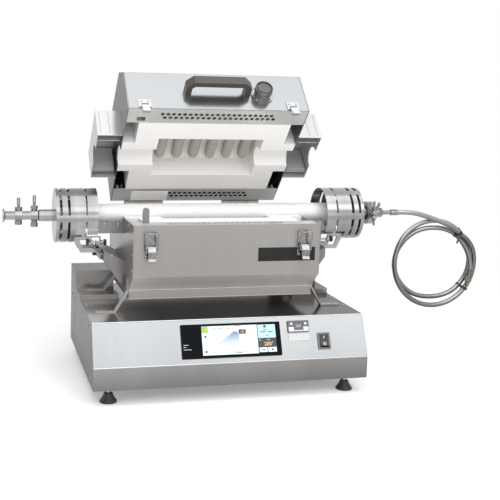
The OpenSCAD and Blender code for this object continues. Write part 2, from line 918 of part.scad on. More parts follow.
// Sealing flange on the tube end: a hub, a disc that centres the guard, a cap
flange_x = guard_in + 69;
module flange_hub() {
  cap = guard_out - guard_t;
  holes_r = 46;
  difference() {
    union() {
      bar_x(flange_x - 16, cap, tube_r + 9);
      bar_x(flange_x, flange_x + 7, guard_r - guard_t - seat);
    }
    bar_x(flange_x - 17, tube_len / 2 + seat, tube_r + fit);
    bar_x(tube_len / 2, cap + over, 7);
    for (a = [30:60:330]) {
      translate([0, 0, split_z]) rotate([a, 0, 0])
        translate([flange_x - over, 0, holes_r]) rotate([0, 90, 0])
        cylinder(r = 5, h = 10);
    }
  }
}

module flange_left() {
  color("#cdd0d2") mirror([1, 0, 0]) flange_hub();
}

// The right flange carries the neck and its clamped face
module flange_right() {
  face = clamp_x - seat / 2;
  color("#cdd0d2") union() {
    flange_hub();
    bar_x(guard_out - guard_t, face, neck_r, 7);
    bar_x(face - 3, face, vac_flange_r, 7);
  }
}

// Pipe with a stepped body and a small flange, drawn as one turned outline
module gas_pipe() {
  x0 = guard_out - guard_t;
  step = guard_out + 36;
  f = end_reach;
  color("#c8cacb") mirror([1, 0, 0]) along_x() rotate_extrude()
    polygon([[7, x0], [neck_r, x0], [neck_r, step - 2], [pipe_r, step],
      [pipe_r, f - 6], [pipe_flange_r - 1, f - 3.4], [pipe_flange_r, f - 3],
      [pipe_flange_r, f], [7, f]]);
}

// Collar round the pipe with a hose barb above and a cap below
fitting_places = [44, 78.5];
module gas_fittings() {
  color("#bfc1c2") for (dx = fitting_places) {
    drop = dx == fitting_places[0] ? 0 : 5;
    translate([-guard_out - dx, 0, split_z]) difference() {
      union() {
        translate([-7.5, 0, 0]) rotate([0, 90, 0])
          cylinder(r = pipe_r + 3, h = 15);
        cylinder(r = 6.5, h = 21 - drop);
        translate([0, 0, 15 - drop / 2]) cylinder(r = 8, h = 7, $fn = 6);
        translate([0, 0, 20 - drop]) cylinder(r = 3, h = 18);
        for (z = [30, 35, 40]) {
          translate([0, 0, z - drop]) cylinder(r1 = 4.2, r2 = 3, h = 5);
        }
        translate([0, 0, drop - 25]) cylinder(r = 8, h = 9, $fn = 6);
        translate([0, 0, drop - 18]) cylinder(r = 6.5, h = 10 - drop);
      }
      translate([-20, 0, 0]) rotate([0, 90, 0])
        cylinder(r = pipe_r + 0.05, h = 40);
      translate([0, 0, 12]) cylinder(r = 1.5, h = 50);
    }
  }
}

// Split ring that holds the two vacuum flanges, with ears for its bolt
ear_y = -clamp_r - 8;
module clamp_ring() {
  groove = vac_flange_r + seat;
  long = clamp_len;
  color("#a7a9aa") difference() {
    union() {
      along_x(clamp_x) cylinder(r = clamp_r, h = long, center = true);
      for (s = [-1, 1]) {
        translate([clamp_x - 6, ear_y - 6, split_z + (s > 0 ? 3 : -9)])
          cube([12, clamp_r - 8, 6]);
      }
    }
    along_x(clamp_x)
      cylinder(r = groove - 3, h = long + 2 * over, center = true);
    along_x(clamp_x) cylinder(r = groove, h = 9, center = true);
    translate([clamp_x - long, ear_y - 8, split_z - 3])
      cube([2 * long, clamp_r - 2, 6]);
    translate([clamp_x, ear_y, split_z - 20])
      cylinder(r = clamp_bolt_r + fit, h = 40);
  }
}

module clamp_bolt() {
  color("#b5b7b8") translate([clamp_x, ear_y, split_z]) union() {
    translate([0, 0, -26]) cylinder(r = clamp_bolt_r, h = 58);
    translate([0, 0, -14]) cylinder(r = 5, h = 5 - seat, $fn = 6);
  }
}

module wing_nut() {
  color("#77797a") translate([clamp_x, ear_y, split_z + 9 + seat])
    difference() {
      union() {
        cylinder(r = 5.5, h = 9);
        for (s = [-1, 1]) {
          sided(s) translate([0, 1, 0]) rotate([90, 0, 0])
            linear_extrude(2) polygon([[3, 1], [8, 2], [14, 12],
              [15, 18], [12.5, 20.5], [9, 18.5], [6.5, 12], [3, 8]]);
        }
      }
      translate([0, 0, -over]) cylinder(r = clamp_bolt_r + fit, h = 40);
    }
}

// Turned adapter from the vacuum flange to the hose, with its crimp sleeve
module hose_adapter() {
  x0 = clamp_x + seat / 2;
  f = end_reach;
  color("#c2c4c5") difference() {
    union() {
      along_x() rotate_extrude() polygon([[0, x0], [vac_flange_r, x0],
        [vac_flange_r, x0 + 3], [16, x0 + 3.5], [10, x0 + 14],
        [10, f - 49], [5, f - 47], [5, f - 20], [hose_r + 1.3, f - 19],
        [hose_r + 1.3, f - 1], [hose_r + 0.6, f], [0, f]]);
      along_x(f - 50) cylinder(r = 11.5, h = 8, $fn = 6);
    }
    bar_x(x0 - over, f - 25, 3);
  }
}

module lid_shell() {
  color("#c3c8ca") opened() difference() {
    prism_x(lid_pts, shell_w);
    prism_x(inset(lid_pts, casing_t), shell_w + 2 * over);
    translate([0, 0, lid_low]) cube([shell_w + 2 * over,
      body_d - 2 * casing_t, 40], center = true);
  }
}

module lid_ends() {
  color("#b4b1ae") opened() for (s = [-1, 1]) {
    sided(s) end_plate(lid_pts);
  }
}

module lid_rim() {
  color("#c4c2c0") opened() difference() {
    rim_strips(lid_low);
    translate([tongue_x, tongue_y - 3, lid_low])
      cube([tongue_w + 4, 12, 10], center = true);
  }
}

module lid_insulation() {
  opened() translate([0, 0, lid_low]) mirror([0, 0, 1])
    insulation_half(lid_top - lid_low - casing_t);
}

module lid_heating_rods() {
  opened() translate([0, 0, lid_low]) mirror([0, 0, 1]) heating_rods();
}

// Boxes outside the lid ends, open towards the body and cut for the tube
module lid_pockets() {
  t = casing_t;
  color("#b9b7b4") opened() for (s = [-1, 1]) {
    sided(s) difference() {
      translate([half_w, -pocket_d / 2, lid_low])
        cube([pocket_reach, pocket_d, pocket_h]);
      translate([half_w - over, t - pocket_d / 2, lid_low - over])
        cube([pocket_reach - t + over, pocket_d - 2 * t,
          pocket_h - t + over]);
      bar_x(half_w, half_w + pocket_reach + over, groove_r);
    }
  }
}

// Bow handle with chamfered corners and a foot at each end
handle_z = lid_low + lid_front_h / 2;
module lid_handle() {
  w = handle_w / 2;
  b = handle_bar;
  c = handle_out * 0.42;
  outer = [[w, 0], [w, c - handle_out], [w - c, -handle_out],
    [c - w, -handle_out], [-w, c - handle_out], [-w, 0]];
  inner = [[b - w, over], [b - w, c * 1.2 - handle_out],
    [c * 1.2 - w, b - handle_out], [w - c * 1.2, b - handle_out],
    [w - b, c * 1.2 - handle_out], [w - b, over]];
  color("#5b514c") opened() translate([0, face_y, handle_z - handle_t / 2])
    linear_extrude(handle_t) difference() {
      polygon(outer);
      polygon(inner);
    }
}

// Vent on a screwed flange, hollow and closed by a recessed cap
module vent_cap() {
  color("#bfc2c4") opened()
    translate([vent_x, face_y, handle_z - vent_drop])
    rotate([90, 0, 0]) difference() {
      union() {
        cylinder(r = vent_r + 6, h = 3);
        cylinder(r = vent_r - 1, h = vent_len);
        translate([0, 0, vent_len - 14]) cylinder(r = vent_r, h = 12);
      }
      translate([0, 0, vent_len - 2]) cylinder(r = vent_r - 4, h = 4);
    }
}

// Keeper on the lid: a plate, a tongue that reaches down and a hooked lip
module lid_keepers() {
  z0 = lid_low + 2;
  tip = latch_z0 + latch_h - 5;
  color("#d8dadb") opened() for (s = [-1, 1]) {
    translate([s * latch_x, 0, 0]) union() {
      translate([-keeper_w / 2, face_y - 2.5, z0])
        cube([keeper_w, 2.5, keeper_h]);
      prism_x([[face_y - 5, tip], [face_y - 13, tip], [face_y - 13, tip + 7],
        [face_y - 10.5, tip + 7], [face_y - 10.5, tip + 2.5],
        [face_y - 7.5, tip + 2.5], [face_y - 7.5, z0 + 2],
        [face_y - 4, z0 + 9], [face_y - 2, z0 + 9], [face_y - 2, z0 + 2],
        [face_y - 5, z0 - 2]], lever_w);
    }
  }
}

// Route of the hose from its sleeve to the coil, as points in X, Y and Z
hose_path = [[0, 0, 0], [18, 0, 0], [36, 0, -1], [54, 0, -4], [73, 0, -9],
    [92, 0, -15], [110, -1, -21], [128, -2, -28], [146, -3, -36],
    [160, -4, -45], [172, -5, -56]];
hose_lead_pts = [for (p = hose_path) p + [end_reach, 0, split_z]];
coil_c = [end_reach + 107, 238];
coil_r = 96;
coil_deep = 32;
coil_y0 = -1.2;
coil_wide = 26;

// A swept tube through the points of a path, as one closed solid
function tangent(p, i) = unit(p[min(i + 1, len(p) - 1)] - p[max(i - 1, 0)]);
function ring(p, i, r, n) = let (t = tangent(p, i),
    u = [0, 1, 0], v = unit(cross(t, u)), w = cross(v, t))
    [for (k = [0:n - 1]) p[i] + r * (cos(360 * k / n) * v
    + sin(360 * k / n) * w)];
module sweep(p, r, n) {
  m = len(p);
  pts = [for (i = [0:m - 1], q = ring(p, i, r, n)) q];
  sides = [for (i = [0:m - 2], k = [0:n - 1]) let (j = (k + 1) % n)
    [i * n + k, i * n + j, (i + 1) * n + j, (i + 1) * n + k]];
  first = [for (k = [0:n - 1]) n - 1 - k];
  last = [for (k = [0:n - 1]) (m - 1) * n + k];
  polyhedron(points = pts, faces = concat(sides, [first, last]));
}

module hose_lead() {
  color("#9a948e") sweep(hose_lead_pts, hose_r, 12);
}

module hose_coil() {
  color("#9a948e") translate([coil_c[0], coil_y0 + coil_wide, coil_c[1]])
    rotate([90, 0, 0]) rotate_extrude($fn = 96)
    translate([coil_r, coil_wide / 2])
    square([coil_deep, coil_wide], center = true);
}

// Two straps round the coil, each a thin rectangular band
module cable_ties() {
  color("#161616") for (a = [50, -38]) {
    translate([coil_c[0], coil_y0 + coil_wide / 2, coil_c[1]])
      rotate([0, -a, 0]) translate([coil_r, 0, 0]) difference() {
        cube([coil_deep + 3, coil_wide + 3, 4], center = true);
        cube([coil_deep + 0.6, coil_wide + 0.6, 6], center = true);
      }
  }
}

// Sleeve, union nut and nipple on the free end of the hose, pointing down
module hose_end_fitting() {
  a = -10;
  color("#b0a79c") translate([coil_c[0], coil_y0 - 7.8, coil_c[1]])
    rotate([180, -a, 0]) translate([coil_r - 1, 0, 0]) difference() {
      union() {
        cylinder(r = hose_r + 1.3, h = 20);
        translate([0, 0, 18]) cylinder(r = 8.6, h = 14, $fn = 6);
        translate([0, 0, 31]) cylinder(r = 5, h = 12);
      }
      translate([0, 0, 26]) cylinder(r = 3, h = 30);
    }
}

base_shell();
base_steps();
base_floor_plate();
foot_pads();
foot_studs();
display_housing();
display_glass();
limiter_case();
limiter_button(-1);  // limiter_button_left
limiter_button(1);  // limiter_button_right
rocker_frame();
rocker_switch();
power_inlet();
relay_heatsink();
body_shell();
body_ends();
body_rim();
body_insulation();
body_heating_rods();
leg_brackets();
end_trays();
tube_brackets();
sided(-1) cradle();  // cradle_left
cradle();  // cradle_right
sided(-1) thumb_screw();  // thumb_screw_left
thumb_screw();  // thumb_screw_right
sided(-1) latch_plate();  // latch_plate_left
latch_plate();  // latch_plate_right
sided(-1) latch_lever();  // latch_lever_left
latch_lever();  // latch_lever_right
sided(-1) latch_bail();  // latch_bail_left
latch_bail();  // latch_bail_right
interlock_tongue();
hinge_leaves();
hinge_pins();
work_tube();
sided(-1) guard();  // guard_left
guard();  // guard_right
flange_left();
flange_right();
gas_pipe();
gas_fittings();
clamp_ring();
clamp_bolt();
wing_nut();
hose_adapter();
lid_shell();
lid_ends();
lid_rim();
lid_insulation();
lid_heating_rods();
lid_pockets();
lid_handle();
vent_cap();
lid_keepers();
lid_hinge_leaves();
hose_lead();
hose_coil();
cable_ties();
hose_end_fitting();
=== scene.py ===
from math import atan, atan2, cos, hypot, radians, sin, tau

import bmesh
import bpy
from mathutils import Matrix, Vector


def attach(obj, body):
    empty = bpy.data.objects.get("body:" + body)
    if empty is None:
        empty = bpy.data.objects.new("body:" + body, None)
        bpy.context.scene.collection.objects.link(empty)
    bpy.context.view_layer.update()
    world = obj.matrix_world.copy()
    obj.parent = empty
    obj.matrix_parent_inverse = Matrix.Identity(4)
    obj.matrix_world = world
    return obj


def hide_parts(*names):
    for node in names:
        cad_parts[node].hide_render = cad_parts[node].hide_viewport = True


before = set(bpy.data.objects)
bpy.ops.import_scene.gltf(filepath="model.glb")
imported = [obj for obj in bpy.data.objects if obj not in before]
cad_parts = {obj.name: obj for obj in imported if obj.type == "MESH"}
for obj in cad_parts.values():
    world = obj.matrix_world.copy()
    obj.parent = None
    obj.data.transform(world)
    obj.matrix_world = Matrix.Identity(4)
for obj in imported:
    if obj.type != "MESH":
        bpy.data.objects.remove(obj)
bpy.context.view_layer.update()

# The picture
# A plain studio: a white floor, an even pale room, a wide soft box above and two cards in front.
# The camera stands to the left of the furnace and a little above it, fitted to the photograph.

eye = bpy.data.cameras.new("eye")
eye.lens, eye.sensor_width = 68.0, 36
eye.shift_x, eye.shift_y = 0.10, -0.14
eye_stand = bpy.data.objects.new("eye", eye)
bpy.context.scene.collection.objects.link(eye_stand)
eye_stand.rotation_mode = "QUATERNION"
eye_stand.location = (-0.5493, -2.1092, 0.6568)
eye_stand.rotation_quaternion = (
    Matrix.Rotation(radians(-13.93), 3, "Z")
    @ Matrix.Rotation(radians(90 - 5.587), 3, "X")
    @ Matrix.Rotation(radians(1.41), 3, "Z")).to_quaternion()
bpy.context.scene.camera = eye_stand
bpy.context.scene.view_settings.view_transform = "Standard"


def wired(tree, kind, inputs=None, **settings):
    """The outputs of a new node. Each of its inputs is a value, the output of a node or a Field."""
    node = tree.nodes.new(kind)
    for word, value in settings.items():
        setattr(node, word, value)
    for name, value in (inputs or {}).items():
        value = getattr(value, "socket", value)
        if isinstance(value, bpy.types.NodeSocket):
            tree.links.new(value, node.inputs[name])
        else:
            node.inputs[name].default_value = value
    return node.outputs


def seen_directly(tree):
    """1 for rays that come from the camera, from metal or through glass, and 0 for the light."""
    ray = wired(tree, "ShaderNodeLightPath")
    last = ray["Is Camera Ray"]
    for word in ("Is Glossy Ray", "Is Transmission Ray"):
        last = wired(tree, "ShaderNodeMath", {0: last, 1: ray[word]}, operation="MAXIMUM")[0]
    return last


room = bpy.data.worlds.new("room")
bpy.context.scene.world = room
room.use_nodes = True
tree = room.node_tree
tree.nodes.clear()
soft = wired(tree, "ShaderNodeBackground", {"Color": (0.97, 0.98, 1.0, 1), "Strength": 0.7})
white = wired(tree, "ShaderNodeBackground", {"Color": (1, 1, 1, 1), "Strength": 1.0})
both = wired(tree, "ShaderNodeMixShader", {"Fac": seen_directly(tree), 1: soft[0], 2: white[0]})
wired(tree, "ShaderNodeOutputWorld", {"Surface": both[0]})

# Each lamp: its name, its place, its width and height, and its power; all face the furnace's middle
lamps = [("soft_box", (-0.1, -0.7, 2.4), 2.8, 2.0, 31.0),
         ("front_card", (0.4, -2.5, 1.95), 3.4, 1.25, 33.0),
         ("low_card", (0.1, -2.9, 0.5), 2.6, 0.7, 9.0)]
lamps_face = Vector((0, 0, 0.3))
for name, place, wide, tall, watts in lamps:
    lamp = bpy.data.lights.new(name, "AREA")
    lamp.shape, lamp.size, lamp.size_y, lamp.energy = "RECTANGLE", wide, tall, watts
    stand = bpy.data.objects.new(name, lamp)
    bpy.context.scene.collection.objects.link(stand)
    stand.location = place
    stand.rotation_euler = (lamps_face - Vector(place)).to_track_quat("-Z", "Y").to_euler()

# The floor is lit and shadowed near the furnace and runs out to plain white further off
floor_mesh = bpy.data.meshes.new("floor")
floor_half = 9
floor_corners = [(x * floor_half, y * floor_half, 0) for x, y in ((-1, -1), (1, -1), (1, 1), (-1, 1))]
floor_mesh.from_pydata(floor_corners, [], [(0, 1, 2, 3)])
floor = bpy.data.objects.new("floor", floor_mesh)
bpy.context.scene.collection.objects.link(floor)
floor_look = bpy.data.materials.new("white_floor")
floor_look.use_nodes = True
tree = floor_look.node_tree
tree.nodes.clear()
paper = wired(tree, "ShaderNodeBsdfDiffuse", {"Color": (0.93, 0.93, 0.93, 1)})
paper_white = wired(tree, "ShaderNodeEmission", {"Color": (1, 1, 1, 1)})
lift = wired(tree, "ShaderNodeEmission", {"Strength": 0.16})
seen = seen_directly(tree)
spot = wired(tree, "ShaderNodeTexCoord")["Object"]
reach = wired(tree, "ShaderNodeVectorMath", {0: spot}, operation="LENGTH")
far = wired(tree, "ShaderNodeMapRange", {"Value": reach["Value"], "From Min": 0.75, "From Max": 1.5},
            interpolation_type="SMOOTHSTEP")
runs_out = wired(tree, "ShaderNodeMath", {0: far[0], 1: seen}, operation="MULTIPLY")
lifted = wired(tree, "ShaderNodeAddShader", {0: paper[0], 1: lift[0]})
lift_on = wired(tree, "ShaderNodeMixShader", {"Fac": seen, 1: paper[0], 2: lifted[0]})
whole = wired(tree, "ShaderNodeMixShader", {"Fac": runs_out[0], 1: lift_on[0], 2: paper_white[0]})
wired(tree, "ShaderNodeOutputMaterial", {"Surface": whole[0]})
floor_mesh.materials.append(floor_look)


# Metal hose
# The vacuum hose is 12 mm corrugated steel tube in a fine wire braid, about a metre and a half long.
# It leaves its crimped sleeve level, sags, and then turns a little more than twice round a loose ring.
# Two black straps hold the ring together, and a union nut and nipple close the free end.

class Field:
    """A value that varies over a surface: sums, differences, products and tests add their nodes."""

    def __init__(self, tree, socket):
        self.tree, self.socket = tree, socket

    def made(self, kind, inputs, out=0, **settings):
        return Field(self.tree, wired(self.tree, kind, inputs, **settings)[out])

    def sum(self, word, first, second):
        return self.made("ShaderNodeMath", {0: first, 1: second}, operation=word)

    def __add__(self, other):
        return self.sum("ADD", self, other)

    def __radd__(self, other):
        return self.sum("ADD", other, self)

    def __sub__(self, other):
        return self.sum("SUBTRACT", self, other)

    def __rsub__(self, other):
        return self.sum("SUBTRACT", other, self)

    def __mul__(self, other):
        return self.sum("MULTIPLY", self, other)

    def __rmul__(self, other):
        return self.sum("MULTIPLY", other, self)

    def __gt__(self, other):
        return self.sum("GREATER_THAN", self, other)

    def through(self, kind, inputs=None, out=0, **settings):
        """Any other node, with this field in its first input."""
        return self.made(kind, {0: self, **(inputs or {})}, out, **settings)

    def part(self, axis):
        """One part of a place or direction: 0 for x, 1 for y or 2 for z."""
        return self.through("ShaderNodeSeparateXYZ", out=axis)

    def held(self):
        """The field with its values held between 0 and 1."""
        return self.through("ShaderNodeClamp")


class Finish:
    """One surface finish: a Principled shader with its constants set, and fields for what varies.

    Its roughness is one number, or a low and a high one with the grain of the spots between them.
    """

    def __init__(self, name, colour, rough, metal=0.0, edges=None, **constants):
        self.look = bpy.data.materials.new(name)
        self.look.use_nodes = True
        self.tree = self.look.node_tree
        self.shader = self.tree.nodes["Principled BSDF"]
        self.set("Base Color", (*colour, 1))
        self.set("Metallic", metal)
        for word, value in constants.items():
            self.set(word.replace("_", " "), value)
        self.place, self.facing, self.uv = (Field(self.tree, wired(self.tree, "ShaderNodeTexCoord")[word])
                                            for word in ("Object", "Normal", "UV"))
        if isinstance(rough, tuple):
            self.mottled("Roughness", *rough)
        else:
            self.set("Roughness", rough)
        self.normal = None
        if edges:
            self.soft_edges(edges)

    def set(self, name, value):
        if isinstance(value, Field):
            self.tree.links.new(value.socket, self.shader.inputs[name])
        else:
            self.shader.inputs[name].default_value = value

    def stretched(self, x, y, z, start=None):
        """Object coordinates multiplied along each axis."""
        return (start or self.place).through("ShaderNodeMapping", {"Scale": (x, y, z)}, vector_type="POINT")

    def noise(self, where, detail=2.0, rough=0.5):
        return where.through("ShaderNodeTexNoise", {"Scale": 1.0, "Detail": detail, "Roughness": rough})

    def between(self, share, low, high, name=None):
        """A colour or number that runs from low to high with the field `share`."""
        if isinstance(low, (int, float)):
            mixed = share * (high - low) + low
        else:
            low, high = (c if isinstance(c, Field) else (*c, 1) for c in (low, high))
            mixed = share.made("ShaderNodeMix", {0: share, 6: low, 7: high}, 2, data_type="RGBA")
        if name:
            self.set(name, mixed)
        return mixed

    def mottled(self, name, low, high, grain, detail=2.0):
        """Lets an input run from low to high in soft spots, about `grain` of them to a metre."""
        return self.between(self.noise(self.stretched(grain, grain, grain), detail), low, high, name)

    def scaled(self, colour, share):
        """A colour field multiplied by the field `share`."""
        return colour.through("ShaderNodeVectorMath", {"Scale": share}, operation="SCALE")

    def soft_edges(self, radius):
        """Edges folded or broken by hand to this radius, in the shading only."""
        self.normal = Field(self.tree, wired(self.tree, "ShaderNodeBevel", {"Radius": radius}, samples=4)[0])
        self.set("Normal", self.normal)

    def bump(self, height, strength, depth):
        inputs = {"Strength": strength, "Distance": depth, "Height": height}
        if self.normal is not None:
            inputs["Normal"] = self.normal
        self.normal = height.made("ShaderNodeBump", inputs)
        self.set("Normal", self.normal)

    def pitted(self, grain, strength, depth):
        """A fine roughness to the touch, about `grain` pits to a metre."""
        self.bump(self.noise(self.stretched(grain, grain, grain)), strength, depth)


millimetre = 0.001


def piece(name, bm, look, body, sharp=35, turn=None):
    """Makes a finished bmesh, drawn in millimetres, into a named piece that rides on its body.

    Where it was drawn flat or closed, turn is the matrix that puts it in its place. Edges that bend
    by more than `sharp` degrees are shaded as edges.
    """
    if turn is not None:
        bmesh.ops.transform(bm, matrix=turn, verts=bm.verts)
    bmesh.ops.recalc_face_normals(bm, faces=bm.faces)
    bmesh.ops.scale(bm, vec=(millimetre,) * 3, verts=bm.verts)
    mesh = bpy.data.meshes.new(name)
    bm.to_mesh(mesh)
    bm.free()
    mesh.materials.append(look)
    mesh.shade_smooth()
    mesh.set_sharp_from_angle(angle=radians(sharp))
    made = bpy.data.objects.new(name, mesh)
    bpy.context.scene.collection.objects.link(made)
    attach(made, body)
    return made


def swept(bm, line, section, uv=True):
    """Carries a ring of (side, up) offsets along a line without twisting it, and caps its ends."""
    n, m = len(line), len(section)
    ways = []
    for i in range(n):
        ways.append((line[min(i + 1, n - 1)] - line[max(i - 1, 0)]).normalized())
    any_way = Vector((0.13, 0.31, 0.94))
    side = ways[0].cross(any_way).normalized()
    rings, run, runs = [], 0.0, []
    for i, (p, w) in enumerate(zip(line, ways)):
        side = (side - w * side.dot(w)).normalized()
        up = w.cross(side)
        rings.append([bm.verts.new(p + side * s + up * u) for s, u in section])
        run += (p - line[i - 1]).length if i else 0
        runs.append(run)
    layer = bm.loops.layers.uv.verify() if uv else None
    for i in range(n - 1):
        for k in range(m):
            q = (k + 1) % m
            f = bm.faces.new((rings[i][k], rings[i][q], rings[i + 1][q], rings[i + 1][k]))
            if uv:
                ends = (runs[i], runs[i], runs[i + 1], runs[i + 1])
                for loop, u, v in zip(f.loops, ends, (k, k + 1, k + 1, k)):
                    loop[layer].uv = (u / 1000, v / m)
    bm.faces.new(rings[0][::-1])
    bm.faces.new(rings[-1])
    return runs[-1]


def disc(r, n):
    """The section of a round wire, as n corners."""
    return [(r * cos(tau * k / n), r * sin(tau * k / n)) for k in range(n)]


def flat_bar(wide, thick):
    """The section of a flat bar."""
    side, up = thick / 2, wide / 2
    return [(side, up), (-side, up), (-side, -up), (side, -up)]


def eased(knots, s):
    """A smooth value at s through (place, value) knots."""
    i = max(k for k in range(len(knots) - 1) if k == 0 or knots[k][0] <= s)
    (s0, v0), (s1, v1) = knots[i], knots[i + 1]

    def slope(k):
        a, b = knots[max(k - 1, 0)], knots[min(k + 1, len(knots) - 1)]
        return (b[1] - a[1]) / (b[0] - a[0])

    t, h = (s - s0) / (s1 - s0), s1 - s0
    return ((2 * t**3 - 3 * t**2 + 1) * v0 + (t**3 - 2 * t**2 + t) * h * slope(i)
            + (-2 * t**3 + 3 * t**2) * v1 + (t**3 - t**2) * h * slope(i + 1))


hose_r = 6
hose_start = Vector((473, 0, 365))
# The lead: points of its middle line from the adapter to the ring, given after the photograph
hose_lead = [(0, 0, 0), (18, 0, 0), (36, 0, -1), (54, 0, -4), (73, 0, -9), (92, 0, -15), (110, -1, -21),
             (128, -2, -28), (146, -3, -36), (160, -4, -45), (172, -5, -56)]
ring_middle = Vector((580, 0, 238))
# The ring: distance from its middle and depth, by degrees turned from where the lead ends
ring_starts_at = 47.5
ring_out = [(0, 96.3), (14, 102), (30, 107), (60, 109), (137, 108), (227, 106), (317, 104), (360, 103),
            (418, 102), (450, 97), (497, 89), (540, 95), (587, 101), (635, 92), (677, 86), (720, 90),
            (747, 90.5), (777.5, 95)]
ring_deep = [(0, -5), (30, -1), (60, 3), (137, 4), (227, 5), (290, 10), (330, 13), (360, 15), (418, 16.5),
             (497, 17), (587, 17.7), (640, 15.5), (677, 12), (720, 7.5), (750, -2), (777.5, -9)]
lead_steps, ring_steps = 4, 259
hose_line = []
for i in range(lead_steps * (len(hose_lead) - 1)):
    s = i / lead_steps
    hose_line.append(hose_start + Vector([eased([(k, p[axis]) for k, p in enumerate(hose_lead)], s)
                                          for axis in range(3)]))
ring_turned = ring_out[-1][0]
for i in range(ring_steps + 1):
    s = ring_turned * i / ring_steps
    a, r = radians(ring_starts_at - s), eased(ring_out, s)
    hose_line.append(ring_middle + Vector((r * cos(a), eased(ring_deep, s), r * sin(a))))

hose_look = Finish("braided_hose", (0.27, 0.262, 0.255), 0.24, 0.95)
along = hose_look.stretched(1, 1, 1, hose_look.uv).part(0)
around = hose_look.uv.part(1)
wires_along, wires_round = 900.0, 12.0
wire_a = ((along * wires_along + around * wires_round) * tau).through("ShaderNodeMath", operation="SINE")
wire_b = ((along * wires_along - around * wires_round) * tau).through("ShaderNodeMath", operation="SINE")
streaks = hose_look.noise(hose_look.stretched(9, 11, 1, hose_look.uv))
weave = (wire_a * wire_b) * 0.2 + streaks * 1.5 - 0.25
braid = hose_look.between(weave, (0.12, 0.116, 0.112), (0.3, 0.293, 0.286))
# Painted light and shade: its upper side is brighter and its underside darker, and the lead and the ring's
# top are brightest
painted_top_light = hose_look.facing.part(2)
hose_height = hose_look.place.part(2)
lead_painted_light = ((hose_height - 0.3) * 14).held()
hose_look.set("Base Color", hose_look.scaled(braid, painted_top_light * 0.7 + 0.85 + lead_painted_light * 0.9))
hose_look.bump(weave, 0.25, 0.0002)

bm = bmesh.new()
hose_length = swept(bm, hose_line, disc(hose_r, 20))
hose = piece("vacuum_hose", bm, hose_look.look, "root", 60)
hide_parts("hose_lead", "hose_coil")


def turned(bm, outline, place, axis, sides=40, flats=0):
    """A solid turned from (radius, height) points round an axis; flats gives a hexagon instead."""
    to = Matrix.Translation(Vector(place)) @ Vector(axis).to_track_quat("Z", "Y").to_matrix().to_4x4()
    n = flats or sides
    rings = []
    for r, h in outline:
        if r == 0:
            rings.append([bm.verts.new(to @ Vector((0, 0, h)))])
        else:
            rings.append([bm.verts.new(to @ Vector((r * cos(tau * k / n), r * sin(tau * k / n), h)))
                          for k in range(n)])
    for a, b in zip(rings, rings[1:]):
        for k in range(n):
            q = (k + 1) % n
            corners = [a[k % len(a)], a[q % len(a)], b[q % len(b)], b[k % len(b)]]
            face = [v for i, v in enumerate(corners) if v not in corners[:i]]
            if len(face) > 2:
                bm.faces.new(face)
    for end in (rings[0], rings[-1]):
        if len(end) > 1 and outline[0] != outline[-1]:
            bm.faces.new(end)
    if outline[0] == outline[-1]:
        bmesh.ops.remove_doubles(bm, verts=rings[0] + rings[-1], dist=0.0001)


nut_brass = Finish("plated_brass", (0.3, 0.28, 0.25), 0.3, 0.95, 0.0006)
scuffs = nut_brass.noise(nut_brass.stretched(260, 260, 260), 4)
nut_brass.between(scuffs, 0.2, 0.4, "Roughness")
nut_brass.between(scuffs, (0.24, 0.225, 0.2), (0.05, 0.046, 0.04), "Base Color")
# The nut follows the hose's last stretch, which ends ten degrees below the level of the ring's middle
end_turn, end_out, end_deep = radians(-10), ring_out[-1][1], ring_deep[-1][1]
end_place = ring_middle + Vector((end_out * cos(end_turn), end_deep, end_out * sin(end_turn)))
end_way = Vector((sin(end_turn), 0, -cos(end_turn)))
bm = bmesh.new()
turned(bm, [(0, -0.5), (6.6, -0.5), (7.3, 1)] + [(7.3 - 0.5 * (k % 2), 2 + 1.6 * k) for k in range(9)]
       + [(7.3, 17), (6.4, 19), (0, 19)], end_place, end_way)
turned(bm, [(0, 18.2), (7.6, 18.2), (8.6, 19.2), (8.6, 30.8), (7.6, 31.8), (0, 31.8)], end_place, end_way,
       flats=6)
turned(bm, [(3, 26), (3, 43), (4.3, 43), (5, 42), (5, 37), (4.4, 36), (5, 35), (5, 31), (3, 31), (3, 26)],
       end_place, end_way, 32)
hose_end = piece("hose_end_nut", bm, nut_brass.look, "root")
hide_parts("hose_end_fitting")

strap_black = Finish("strap_nylon", (0.018, 0.018, 0.019), 0.42)
strap_black.pitted(900, 0.1, 0.0003)
